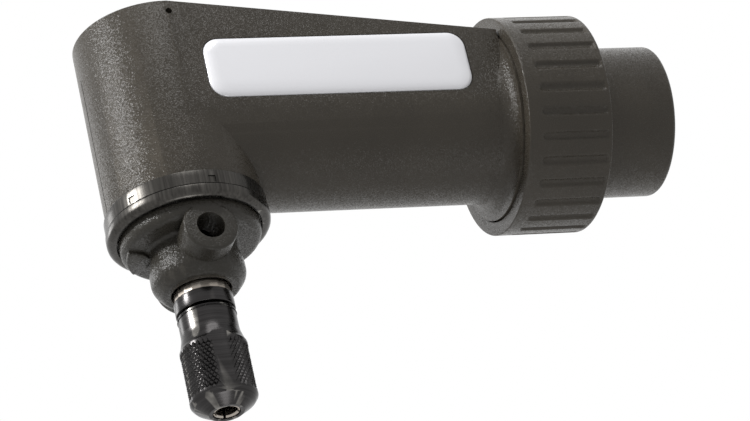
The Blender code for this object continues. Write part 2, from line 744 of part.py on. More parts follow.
def make_circlip(name, line, inner, outer, low):
    """A retaining ring with a gap."""
    clip = turned(
        name,
        [
            (outer, low + CIRCLIP_THICKNESS),
            (outer, low),
            (inner, low),
            (inner, low + CIRCLIP_THICKNESS),
        ],
        line,
        SPRING_STEEL,
        segments=ROUND_SMALL,
    )
    half = inner * math.tan(CIRCLIP_GAP / 2)
    gap = box(
        name + "_gap",
        (inner / 2, -half, low - CIRCLIP_THICKNESS),
        (2 * outer, half, low + 2 * CIRCLIP_THICKNESS),
        line,
    )
    cut(clip, gap)


def make_drive_line():
    """The drive shaft with its pinion, bearings, spacer, spring washer, clips and seal."""
    make_bevel_gear("pinion_gear", DRIVE_LINE, SHAFT_NOSE, math.pi / GEAR_TEETH)
    make_bearing("front_bearing", DRIVE_LINE, FRONT_BEARING)
    make_bearing("rear_bearing", DRIVE_LINE, REAR_BEARING)
    spacer_start = FRONT_BEARING + BEARING_WIDTH + SEAT
    turned(
        "bearing_spacer",
        [
            (BEARING_OUTER, spacer_start + SPACER_LENGTH),
            (BEARING_OUTER, spacer_start),
            (BEARING_OUTER - SPACER_WALL, spacer_start),
            (BEARING_OUTER - SPACER_WALL, spacer_start + SPACER_LENGTH),
        ],
        DRIVE_LINE,
        GEAR_STEEL,
        segments=ROUND_SMALL,
    )
    clip_start = REAR_BEARING + BEARING_WIDTH + SEAT
    shaft = turned(
        "drive_shaft",
        [
            (0.0, SQUARE_START),
            (SHAFT_TAIL, SQUARE_START),
            (SHAFT_TAIL, SHAFT_STEP),
            (BEARING_BORE, SHAFT_STEP),
            (BEARING_BORE, clip_start + CIRCLIP_THICKNESS + FIT),
            (BEARING_BORE - CIRCLIP_DEPTH, clip_start + CIRCLIP_THICKNESS + FIT),
            (BEARING_BORE - CIRCLIP_DEPTH, clip_start - FIT),
            (BEARING_BORE, clip_start - FIT),
            (BEARING_BORE, GEAR_HUB_BACK + SEAT),
            (SHAFT_NOSE, GEAR_HUB_BACK + SEAT),
            (SHAFT_NOSE, SHAFT_FRONT + SEAT),
            (SHAFT_NOSE - 3 * SEAT, SHAFT_FRONT - 2 * SEAT),
            (0.0, SHAFT_FRONT - 2 * SEAT),
        ],
        DRIVE_LINE,
        BRIGHT_STEEL,
        segments=ROUND_SMALL,
    )
    half = SQUARE_FLATS / 2
    square_end = SQUARE_START + SQUARE_LENGTH
    join(shaft, box("square_end", (-half, -half, SQUARE_START - MM), (half, half, square_end), DRIVE_LINE))
    make_circlip(
        "shaft_circlip",
        DRIVE_LINE,
        BEARING_BORE - CIRCLIP_DEPTH + FIT,
        BEARING_BORE + CIRCLIP_REACH - CIRCLIP_DEPTH,
        clip_start,
    )
    turned(
        "spring_washer",
        [
            (BEARING_OUTER - RUN, SPRING_START + SPRING_THICKNESS),
            (BEARING_OUTER - RUN, SPRING_START),
            (BEARING_OUTER - RACE_WALL, SPRING_START + SPRING_RISE),
            (BEARING_OUTER - RACE_WALL, SPRING_START + SPRING_RISE + SPRING_THICKNESS),
        ],
        DRIVE_LINE,
        SPRING_STEEL,
        segments=ROUND_SMALL,
    )
    make_circlip(
        "housing_circlip",
        DRIVE_LINE,
        BEARING_OUTER - CIRCLIP_REACH,
        BEARING_SEAT + CIRCLIP_DEPTH - FIT - FIT,
        CIRCLIP_START,
    )
    turned(
        "felt_seal",
        [
            (BEARING_OUTER, SEAL_START + SEAL_THICKNESS),
            (BEARING_OUTER, SEAL_START),
            (SHAFT_TAIL + RUN, SEAL_START),
            (SHAFT_TAIL + RUN, SEAL_START + SEAL_THICKNESS),
        ],
        DRIVE_LINE,
        FELT,
        segments=ROUND_SMALL,
    )


def make_band():
    """The steel band under the head: it holds the spindle bearing and takes the cap."""
    foot = BAND_TOP + BAND_HEIGHT
    rim = (BAND_FOOT_RADIUS - BAND_RIM_CORNER, -BAND_BOTTOM + BAND_RIM_CORNER)
    recess = CAP_RADIUS + 2 * SEAT
    band = turned(
        "bearing_band",
        [
            (BAND_SPIGOT_RADIUS, -SPIGOT_TOP),
            (BAND_SPIGOT_RADIUS, -BAND_TOP),
            (BAND_RADIUS, -BAND_TOP),
            (BAND_RADIUS, -foot + BAND_GROOVE),
            (BAND_RADIUS - BAND_GROOVE, -foot + BAND_GROOVE),
            (BAND_RADIUS - BAND_GROOVE, -foot),
            (BAND_FOOT_RADIUS, -foot),
        ]
        + arc(rim, BAND_RIM_CORNER, 0, -90, 3)
        + [
            (recess, -BAND_BOTTOM),
            (recess, -CAP_TOP + SEAT),
            (BAND_LIP_RADIUS, -CAP_TOP + SEAT),
            (BAND_LIP_RADIUS, -LIP_TOP),
            (BEARING_SEAT, -LIP_TOP),
            (BEARING_SEAT, -SPIGOT_TOP),
        ],
        SPINDLE_LINE,
        BAND_STEEL,
        segments=ROUND_LARGE,
    )
    middle = -BAND_TOP - NOTCH_BELOW
    for i in range(NOTCH_COUNT):
        notch = box(
            "spanner_notch_%d" % (i + 1),
            (BAND_RADIUS - NOTCH_DEPTH, -NOTCH_SIZE / 2, middle - NOTCH_SIZE / 2),
            (BAND_RADIUS + MM, NOTCH_SIZE / 2, middle + NOTCH_SIZE / 2),
            SPINDLE_LINE,
            turn=NOTCH_TURN + math.tau * i / NOTCH_COUNT,
        )
        cut(band, notch)
    for i, turn in enumerate(SCREW_TURNS):
        head_low = -LIP_TOP - 2 * SEAT - SCREW_HEAD_HEIGHT
        shank_hole = rod(
            "band_screw_hole_%d" % (i + 1),
            SCREW_RADIUS + FIT,
            polar(SCREW_CIRCLE, turn, -CAP_TOP),
            polar(SCREW_CIRCLE, turn, -LIP_TOP + SEAT),
            SPINDLE_LINE,
            segments=ROUND_TINY,
        )
        head_hole = rod(
            "band_head_hole_%d" % (i + 1),
            SCREW_HEAD + FIT,
            polar(SCREW_CIRCLE, turn, head_low),
            polar(SCREW_CIRCLE, turn, -LIP_TOP + SEAT),
            SPINDLE_LINE,
            segments=ROUND_TINY,
        )
        cut(band, shank_hole, head_hole)
        make_cap_screw(i + 1, turn, head_low + SEAT)


def make_cap():
    """The nose cap: disc, rounded hub, a boss on each side for the lock hole, and a stop pad."""
    bulge = -CAP_FACE - HUB_BULGE
    bore = SPINDLE_NECK + 2 * RUN
    cap = turned(
        "nose_cap",
        [(0.0, -CAP_TOP), (CAP_RADIUS, -CAP_TOP)]
        + arc((CAP_RADIUS - CAP_CORNER, -CAP_FACE + CAP_CORNER), CAP_CORNER, 0, -90, 3)
        + arc((HUB_TOP_RADIUS + HUB_FILLET, -CAP_FACE - HUB_FILLET), HUB_FILLET, 90, 180, 2)
        + [((HUB_TOP_RADIUS + HUB_RADIUS) / 2, (bulge - CAP_FACE) / 2)]
        + arc((HUB_RADIUS - HUB_ROUND, bulge), HUB_ROUND, 0, -HUB_ROUND_SWEEP, 4)
        + [(HUB_END_RADIUS, -HUB_END), (0.0, -HUB_END)],
        SPINDLE_LINE,
        CAP_GREY,
        segments=ROUND_MEDIUM + 4,
    )
    cap_bore = turned(
        "cap_bore",
        [
            (0.0, -CAP_TOP + MM),
            (BAND_LIP_RADIUS, -CAP_TOP + MM),
            (BAND_LIP_RADIUS, -CAP_FACE + BAND_LIP_RADIUS - CAP_CAVITY),
            (CAP_CAVITY, -CAP_FACE),
            (CAP_CAVITY, -HUB_END + CAP_BORE_LENGTH + CAP_CAVITY - bore),
            (bore, -HUB_END + CAP_BORE_LENGTH),
            (bore, -HUB_END - MM),
            (0.0, -HUB_END - MM),
        ],
        SPINDLE_LINE,
    )
    for side, reach in enumerate(LOCK_BOSS_REACHES):
        turn = LOCK_HOLE_TURN + math.pi * side
        boss = rod(
            "lock_boss_%d" % (side + 1),
            LOCK_BOSS_RADIUS,
            polar(bore, turn, -LOCK_HOLE_DROP),
            polar(reach, turn, -LOCK_HOLE_DROP),
            SPINDLE_LINE,
        )
        round_edges(boss, LOCK_BOSS_EDGE, 1)
        join(cap, boss)
    pad_low = -CAP_FACE - PAD_HEIGHT
    pad_high = -CAP_FACE + CAP_CORNER
    pad = rod(
        "stop_pad",
        PAD_RADIUS,
        polar(PAD_CIRCLE, PAD_TURN, pad_low),
        polar(PAD_CIRCLE, PAD_TURN, pad_high),
        SPINDLE_LINE,
    )
    limit = rod("pad_limit", PAD_LIMIT, polar(0, 0, pad_low - MM), polar(0, 0, pad_high + MM), SPINDLE_LINE)
    boolean(pad, limit, "INTERSECT")
    round_edges(pad, PAD_EDGE, 1)
    lock_hole = rod(
        "lock_hole",
        LOCK_HOLE_RADIUS,
        polar(-CAP_RADIUS - MM, LOCK_HOLE_TURN, -LOCK_HOLE_DROP),
        polar(CAP_RADIUS + MM, LOCK_HOLE_TURN, -LOCK_HOLE_DROP),
        SPINDLE_LINE,
    )
    join(cap, pad)
    cut(cap, cap_bore, lock_hole)
    for i, turn in enumerate(SCREW_TURNS):
        pilot = rod(
            "pilot_hole_%d" % (i + 1),
            SCREW_RADIUS + FIT,
            polar(SCREW_CIRCLE, turn, -LIP_TOP - SCREW_LENGTH - 2 * SEAT),
            polar(SCREW_CIRCLE, turn, -CAP_TOP + MM),
            SPINDLE_LINE,
            segments=ROUND_TINY,
        )
        cut(cap, pilot)


def make_cap_screw(number, turn, head_low):
    """A small screw from inside the band down into the cap."""
    head_high = head_low + SCREW_HEAD_HEIGHT
    low = head_high - SCREW_LENGTH
    screw = turned(
        "cap_screw_%d" % number,
        [
            (0.0, head_high),
            (SCREW_HEAD, head_high),
            (SCREW_HEAD, head_low),
            (SCREW_RADIUS, head_low),
            (SCREW_RADIUS, low),
            (0.0, low),
        ],
        SPINDLE_LINE,
        BLACK_STEEL,
        segments=ROUND_TINY,
    )
    slot = box(
        "screw_slot_%d" % number,
        (-2 * SCREW_HEAD, -SLOT_WIDTH / 2, head_high - SLOT_DEPTH),
        (2 * SCREW_HEAD, SLOT_WIDTH / 2, head_high + MM),
        SPINDLE_LINE,
    )
    for obj in (screw, slot):
        obj.location = polar(SCREW_CIRCLE, turn)
    cut(screw, slot)


def make_spindle():
    """The output spindle with its gear, bearing, top bush, clip and shoulder ring."""
    make_bevel_gear("bevel_gear", SPINDLE_LINE, GEAR_SEAT, 0.0)
    make_bearing("spindle_bearing", SPINDLE_LINE, -BEARING_BOTTOM)
    turned(
        "top_bush",
        [
            (JOURNAL_RADIUS + BUSH_WALL, CHAMBER_TOP + BUSH_LENGTH),
            (JOURNAL_RADIUS + BUSH_WALL, CHAMBER_TOP),
            (JOURNAL_RADIUS + RUN, CHAMBER_TOP),
            (JOURNAL_RADIUS + RUN, CHAMBER_TOP + BUSH_LENGTH),
        ],
        SPINDLE_LINE,
        BRONZE,
        segments=ROUND_SMALL,
    )
    clip_high = -BEARING_BOTTOM - SEAT
    clip_low = clip_high - CIRCLIP_THICKNESS
    bore_top = -SPINDLE_END + SPINDLE_BORE_DEPTH
    spindle = turned(
        "output_spindle",
        [
            (0.0, CHAMBER_TOP + BUSH_LENGTH - 3 * SEAT),
            (JOURNAL_RADIUS - 3 * SEAT, CHAMBER_TOP + BUSH_LENGTH - 3 * SEAT),
            (JOURNAL_RADIUS, CHAMBER_TOP + BUSH_LENGTH - 6 * SEAT),
            (JOURNAL_RADIUS, GEAR_HUB_BACK + 3 * SEAT),
            (GEAR_SEAT, GEAR_HUB_BACK + 3 * SEAT),
            (GEAR_SEAT, WEB_HEIGHT - SEAT),
            (SPINDLE_WAIST, WEB_HEIGHT - SEAT),
            (SPINDLE_WAIST, -SPINDLE_BEARING + SPINDLE_FLANGE),
            (SPINDLE_SHOULDER, -SPINDLE_BEARING + SPINDLE_FLANGE),
            (SPINDLE_SHOULDER, -SPINDLE_BEARING + SEAT),
            (BEARING_BORE, -SPINDLE_BEARING + SEAT),
            (BEARING_BORE, clip_high + FIT),
            (BEARING_BORE - CIRCLIP_DEPTH, clip_high + FIT),
            (BEARING_BORE - CIRCLIP_DEPTH, clip_low - FIT),
            (BEARING_BORE, clip_low - FIT),
            (BEARING_BORE, -NECK_START),
            (SPINDLE_NECK, -NECK_START - 2 * SEAT),
            (SPINDLE_NECK, -NECK_END),
            (THREAD_RADIUS, -NECK_END),
            (THREAD_RADIUS, -SPINDLE_END + 3 * SEAT),
            (THREAD_RADIUS - 3 * SEAT, -SPINDLE_END),
            (SPINDLE_BORE + 3 * SEAT, -SPINDLE_END),
            (SPINDLE_BORE, -SPINDLE_END + 4 * SEAT),
            (SPINDLE_BORE, bore_top),
            (0.0, bore_top + MM),
        ],
        SPINDLE_LINE,
        BRIGHT_STEEL,
        segments=ROUND_SMALL,
    )
    lock_pin_hole = rod(
        "lock_pin_hole",
        LOCK_PIN_RADIUS,
        polar(2 * SPINDLE_NECK, LOCK_HOLE_TURN, -LOCK_HOLE_DROP),
        polar(-2 * SPINDLE_NECK, LOCK_HOLE_TURN, -LOCK_HOLE_DROP),
        SPINDLE_LINE,
        segments=ROUND_TINY,
    )
    cut(spindle, lock_pin_hole)
    make_circlip(
        "spindle_circlip",
        SPINDLE_LINE,
        BEARING_BORE - CIRCLIP_DEPTH + FIT,
        BEARING_BORE + CIRCLIP_REACH - CIRCLIP_DEPTH,
        clip_low,
    )
    ring_top = -NECK_END - SEAT
    turned(
        "shoulder_ring",
        [
            (SHOULDER_RING, ring_top),
            (SHOULDER_RING, ring_top - SHOULDER_RING_HEIGHT),
            (THREAD_RADIUS + FIT, ring_top - SHOULDER_RING_HEIGHT),
            (THREAD_RADIUS + FIT, ring_top),
        ],
        SPINDLE_LINE,
        BLACK_STEEL,
        segments=ROUND_SMALL,
    )


def make_collet():
    """The slit collet: tail in the spindle's bore, head against the cone of the nut."""
    head_top = -SPINDLE_END - SEAT
    nose = -NUT_END + 4 * SEAT
    shoulder = head_top - COLLET_HEAD_LENGTH
    collet = turned(
        "collet",
        [
            (COLLET_TAIL, head_top + COLLET_TAIL_LENGTH),
            (COLLET_TAIL, head_top),
            (COLLET_HEAD, head_top - COLLET_CONE),
            (COLLET_HEAD, shoulder),
            (COLLET_NOSE, nose),
            (COLLET_BORE, nose),
            (COLLET_BORE, head_top + COLLET_TAIL_LENGTH),
        ],
        SPINDLE_LINE,
        BRIGHT_STEEL,
        segments=ROUND_SMALL,
    )
    for i in range(2):
        slit = box(
            "collet_slit_%d" % (i + 1),
            (-2 * COLLET_HEAD, -COLLET_SLIT / 2, nose - MM),
            (2 * COLLET_HEAD, COLLET_SLIT / 2, head_top + MM),
            SPINDLE_LINE,
            turn=math.radians(90 * i) + NUT_FLAT_TURN,
        )
        cut(collet, slit)
    return shoulder, nose


def make_nut(shoulder, nose):
    """The collet nut: shank, taper, grip with two flats, and a cone inside for the collet."""
    shank_end = -NUT_TOP - NUT_SHANK_LENGTH
    grip_top = shank_end - NUT_TAPER
    grip_end = grip_top - NUT_GRIP
    nut = turned(
        "collet_nut",
        [
            (NUT_SHANK - SEAT, -NUT_TOP),
            (NUT_SHANK, -NUT_TOP - SEAT),
            (NUT_SHANK, shank_end),
            (NUT_SHANK + 0.45 * (NUT_RADIUS - NUT_SHANK), shank_end - 0.45 * NUT_TAPER),
            (NUT_RADIUS, grip_top),
            (NUT_RADIUS, grip_end),
            (0.92 * NUT_RADIUS, grip_end - 0.25 * NUT_NOSE),
            (0.5 * (NUT_RADIUS + NUT_NOSE_RADIUS), grip_end - 0.78 * NUT_NOSE),
            (NUT_NOSE_RADIUS, -NUT_END),
            (NUT_HOLE, -NUT_END),
            (NUT_HOLE, nose),
            (COLLET_HEAD + SEAT, shoulder - SEAT),
            (THREAD_RADIUS + RUN, -SPINDLE_END - 6 * SEAT),
            (THREAD_RADIUS + RUN, -NUT_TOP),
        ],
        SPINDLE_LINE,
        BLACK_STEEL,
        segments=ROUND_MEDIUM,
    )
    for i in range(2):
        flat = box(
            "nut_flat_%d" % (i + 1),
            (NUT_FLATS / 2, -2 * NUT_RADIUS, grip_end - SEAT),
            (2 * NUT_RADIUS, 2 * NUT_RADIUS, grip_top + NUT_FLAT_RUNOUT),
            SPINDLE_LINE,
            turn=NUT_FLAT_TURN + math.pi * i,
        )
        cut(nut, flat)


def finish():
    """Bakes each piece's modifiers into its mesh and shades it smooth between sharp edges."""
    bpy.context.view_layer.update()
    graph = bpy.context.evaluated_depsgraph_get()
    baked = {}
    for obj in PARTS.objects:
        if obj.type == "MESH":
            baked[obj] = bpy.data.meshes.new_from_object(obj.evaluated_get(graph))
    for obj, mesh in baked.items():
        obj.modifiers.clear()
        obj.data = mesh
        mesh.shade_smooth()
        mesh.set_sharp_from_angle(angle=SHARP_ANGLE)


make_housing()
make_badge()
make_clamp()
make_drive_line()
make_band()
make_cap()
make_spindle()
make_nut(*make_collet())
finish()
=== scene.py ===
"""Looks of a right angle attachment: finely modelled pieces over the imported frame, with procedural finishes.

Everything is in metres in the row frame. The drive axis runs along X through the origin, and the spindle
axis stands upright at x = -REACH.
"""
import logging
import math
from collections.abc import Callable, Iterable, Sequence
from dataclasses import dataclass, field
from enum import Enum

import bmesh
import bpy
from mathutils import Matrix, Vector


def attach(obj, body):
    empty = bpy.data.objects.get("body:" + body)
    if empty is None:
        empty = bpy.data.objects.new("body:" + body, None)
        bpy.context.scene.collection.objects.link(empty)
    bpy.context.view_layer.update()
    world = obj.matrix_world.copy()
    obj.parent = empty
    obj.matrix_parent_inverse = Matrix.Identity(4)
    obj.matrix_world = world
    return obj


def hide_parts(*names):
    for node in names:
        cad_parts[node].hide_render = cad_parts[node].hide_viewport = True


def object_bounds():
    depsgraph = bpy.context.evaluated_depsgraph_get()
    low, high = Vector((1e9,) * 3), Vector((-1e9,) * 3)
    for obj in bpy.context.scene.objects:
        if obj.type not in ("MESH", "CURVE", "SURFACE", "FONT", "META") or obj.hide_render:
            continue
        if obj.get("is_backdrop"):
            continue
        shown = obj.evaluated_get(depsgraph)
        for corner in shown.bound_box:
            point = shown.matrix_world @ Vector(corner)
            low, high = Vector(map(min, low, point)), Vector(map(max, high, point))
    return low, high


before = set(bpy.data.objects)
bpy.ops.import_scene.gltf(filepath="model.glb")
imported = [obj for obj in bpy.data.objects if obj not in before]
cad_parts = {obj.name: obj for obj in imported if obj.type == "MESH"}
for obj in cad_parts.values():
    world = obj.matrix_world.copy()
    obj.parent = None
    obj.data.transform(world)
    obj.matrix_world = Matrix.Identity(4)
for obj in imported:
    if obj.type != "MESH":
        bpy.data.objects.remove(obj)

LOG = logging.getLogger("right_angle_attachment")

MM = 0.001
MERGE = 2e-6
REACH = 76.7 * MM
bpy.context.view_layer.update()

Point = tuple[float, float]
Color = tuple[float, float, float]
Obj = bpy.types.Object
Node = bpy.types.Node
Socket = bpy.types.NodeSocket
VECTOR_MATH = "ShaderNodeVectorMath"


class Axis(Enum):
    """The two lines that pieces are turned about."""

    SPINDLE = "spindle"
    DRIVE = "drive"

    def point(self, radius: float, along: float) -> Vector:
        """A profile point in the row frame.

        Args:
            radius: distance from the axis.
            along: height over the drive axis, or station out from the spindle axis.

        Returns:
            The point in the plane y = 0.
        """
        if self is Axis.SPINDLE:
            return Vector((radius - REACH, 0.0, along))
        return Vector((along - REACH, 0.0, radius))

    def direction(self) -> Vector:
        """The axis as a unit vector."""
        return Vector((0.0, 0.0, 1.0)) if self is Axis.SPINDLE else Vector((1.0, 0.0, 0.0))

    def centre(self) -> Vector:
        """The point where both axes cross."""
        return Vector((-REACH, 0.0, 0.0))

    def polar(self, place: Vector) -> tuple[float, float, float]:
        """A place as radius, turn and distance along the axis.

        Args:
            place: a point in the row frame.

        Returns:
            Radius, angle in radians and distance along the axis.
        """
        off = place - self.centre()
        if self is Axis.SPINDLE:
            return math.hypot(off.x, off.y), math.atan2(off.y, off.x), off.z
        return math.hypot(off.y, off.z), math.atan2(off.y, off.z), off.x


def spot(x: float, y: float, z: float) -> Vector:
    """A point given in millimetres from where the two axes cross."""
    return Vector((x * MM - REACH, y * MM, z * MM))


def filleted(corners: Sequence[tuple[float, ...]], steps: int = 4) -> list[Point]:
    """Rounds the corners of a profile.

    Args:
        corners: (radius, along) or (radius, along, fillet) for each corner, in millimetres.
        steps: faces in each rounded corner.

    Returns:
        The rounded profile in metres.
    """
    count = len(corners)
    made: list[Point] = []
    for i, corner in enumerate(corners):
        here = Vector(corner[:2])
        fillet = corner[2] if len(corner) > 2 else 0.0
        if fillet <= 0.0:
            made.append((here.x * MM, here.y * MM))
            continue
        before = (Vector(corners[i - 1][:2]) - here).normalized()
        after = (Vector(corners[(i + 1) % count][:2]) - here).normalized()
        half = before.angle(after) / 2
        reach = fillet / math.tan(half)
        middle = here + (before + after).normalized() * (fillet / math.sin(half))
        start = here + before * reach - middle
        end = here + after * reach - middle
        sweep = start.angle_signed(end)
        for k in range(steps + 1):
            turn = -sweep * k / steps
            spoke = Matrix.Rotation(turn, 2) @ start
            made.append(((middle.x + spoke.x) * MM, (middle.y + spoke.y) * MM))
    return made


class Bench:
    """Modelling moves, made with Blender's own operators as by hand."""

    @staticmethod
    def take(obj: Obj) -> None:
        """Makes an object the only selected and active one."""
        bpy.ops.object.select_all(action="DESELECT")
        obj.select_set(True)
        bpy.context.view_layer.objects.active = obj

    @staticmethod
    def open(obj: Obj, whole: bool = False) -> None:
        """Opens an object in edit mode.

        Args:
            obj: the object to open.
            whole: whether all of it is selected, or nothing.
        """
        Bench.take(obj)
        bpy.ops.object.mode_set(mode="EDIT")
        bpy.ops.mesh.select_mode(type="VERT")
        bpy.ops.mesh.select_all(action="SELECT" if whole else "DESELECT")

    @staticmethod
    def close() -> None:
        """Back to object mode."""
        bpy.ops.object.mode_set(mode="OBJECT")

    @staticmethod
    def pick(obj: Obj, kind: str, test: Callable[[object], bool]) -> int:
        """Selects the elements that pass a test, and only those.

        Args:
            obj: the object open in edit mode.
            kind: verts, edges or faces.
            test: takes one element and says whether it is wanted.

        Returns:
            How many were selected.
        """
        bpy.ops.mesh.select_mode(type={"verts": "VERT", "edges": "EDGE", "faces": "FACE"}[kind])
        bpy.ops.mesh.select_all(action="DESELECT")
        mesh = bmesh.from_edit_mesh(obj.data)
        found = [item for item in getattr(mesh, kind) if test(item)]
        for item in found:
            item.select_set(True)
        mesh.select_flush_mode()
        bmesh.update_edit_mesh(obj.data)
        return len(found)

    @staticmethod
    def outward(obj: Obj) -> None:
        """Merges seams and turns every face outward."""
        Bench.open(obj, whole=True)
        bpy.ops.mesh.remove_doubles(threshold=MERGE)
        bpy.ops.mesh.normals_make_consistent(inside=False)
        Bench.close()

    @staticmethod
    def settle(obj: Obj) -> None:
        """Applies the object's place, turn and size to its mesh."""
        Bench.take(obj)
        bpy.ops.object.transform_apply(location=True, rotation=True, scale=True)

    @staticmethod
    def adopt(name: str) -> Obj:
        """Names the object just added, with its place in its mesh, and returns it."""
        obj = bpy.context.object
        obj.name = obj.data.name = name
        Bench.settle(obj)
        return obj

    @staticmethod
    def point(name: str, place: Vector) -> Obj:
        """A new object of a single point, left open in edit mode with the point selected.

        Args:
            name: its name.
            place: where the point is.

        Returns:
            The new object.
        """
        bpy.ops.mesh.primitive_plane_add(size=MM, location=place)
        obj = Bench.adopt(name)
        Bench.open(obj, whole=True)
        bpy.ops.mesh.merge(type="CENTER")
        return obj

    @staticmethod
    def modify(obj: Obj, kind: str, **settings: object) -> None:
        """Adds a modifier and applies it.

        Args:
            obj: the object to change.
            kind: the modifier's type.
            **settings: its values.
        """
        Bench.take(obj)
        modifier = obj.modifiers.new(kind.lower(), kind)
        for name, value in settings.items():
            setattr(modifier, name, value)
        bpy.ops.object.modifier_apply(modifier=modifier.name)

    @staticmethod
    def slice(obj: Obj, place: Sequence[float], normal: Sequence[float], near: float) -> None:
        """Cuts off all that lies beyond a plane, and closes the cut.

        Args:
            obj: the object to cut.
            place: a point of the plane.
            normal: points to the side that goes.
            near: how close to the plane a point counts as on it.
        """
        Bench.open(obj, whole=True)
        bpy.ops.mesh.bisect(plane_co=place, plane_no=normal, use_fill=True, clear_outer=True, threshold=near)
        Bench.close()

    @staticmethod
    def combine(obj: Obj, other: Obj, operation: str = "DIFFERENCE") -> None:
        """A Boolean with another object, which is then removed.

        Args:
            obj: the object that stays.
            other: the tool.
            operation: DIFFERENCE, UNION or INTERSECT.
        """
        Bench.modify(obj, "BOOLEAN", operation=operation, solver="EXACT", object=other)
        bpy.data.objects.remove(other, do_unlink=True)

    @staticmethod
    def soften(obj: Obj, width: float, segments: int = 3, angle: float = 35.0) -> None:
        """Rounds the edges that are sharper than an angle.

        Args:
            obj: the object to round.
            width: in metres.
            segments: faces across a rounded edge.
            angle: in degrees.
        """
        Bench.modify(
            obj, "BEVEL", width=width, segments=segments, limit_method="ANGLE",
            angle_limit=math.radians(angle), use_clamp_overlap=True, harden_normals=False,
        )

    @staticmethod
    def shade(obj: Obj, angle: float = 30.0) -> None:
        """Smooth shading up to an angle in degrees."""
        Bench.take(obj)
        bpy.ops.object.shade_smooth_by_angle(angle=math.radians(angle))

    @staticmethod
    def lathe(name: str, profile: Sequence[Point], axis: Axis, steps: int) -> Obj:
        """A turned piece: a profile drawn point by point, then spun a full turn.

        Args:
            name: the piece's name.
            profile: (radius, along) points in metres, closed unless it starts and ends on the axis.
            axis: the line that it turns about.
            steps: faces round a full turn.

        Returns:
            The new object.
        """
        points = [axis.point(*point) for point in profile]
        obj = Bench.point(name, points[0])
        for last, here in zip(points, points[1:]):
            bpy.ops.mesh.extrude_region_move(TRANSFORM_OT_translate={"value": here - last})
        if profile[0][0] > MERGE or profile[-1][0] > MERGE:
            ends = {0, len(points) - 1}
            Bench.pick(obj, "verts", lambda vert: vert.index in ends)
            bpy.ops.mesh.edge_face_add()
        bpy.ops.mesh.select_mode(type="VERT")
        bpy.ops.mesh.select_all(action="SELECT")
        bpy.ops.mesh.spin(steps=steps, angle=math.tau, center=axis.centre(), axis=axis.direction())
        Bench.close()
        Bench.outward(obj)
        return obj

    @staticmethod
    def cylinder(name: str, radius: float, start: Vector, end: Vector, sides: int = 48) -> Obj:
        """A cylinder between two points.

        Args:
            name: its name.
            radius: in metres.
            start: centre of one end.
            end: centre of the other.
            sides: faces round it.

        Returns:
            The new object, with its place in its mesh.
        """
        along = end - start
        bpy.ops.mesh.primitive_cylinder_add(
            vertices=sides, radius=radius, depth=along.length, location=(start + end) / 2,
            rotation=along.to_track_quat("Z", "Y").to_euler(),
        )
        return Bench.adopt(name)

    @staticmethod
    def block(name: str, low: Vector, high: Vector) -> Obj:
        """A box between two corners.

        Args:
            name: its name.
            low: lowest corner.
            high: highest corner.

        Returns:
            The new object, with its place in its mesh.
        """
        bpy.ops.mesh.primitive_cube_add(size=1.0, location=(low + high) / 2, scale=high - low)
        return Bench.adopt(name)

    @staticmethod
    def turn(obj: Obj, angle: float, axis: Axis) -> None:
        """Turns a finished mesh about one of the axes.

        Args:
            obj: the object.
            angle: in radians.
            axis: the line that it turns about.
        """
        centre = Matrix.Translation(axis.centre())
        obj.matrix_world = centre @ Matrix.Rotation(angle, 4, axis.direction()) @ centre.inverted()
        Bench.settle(obj)


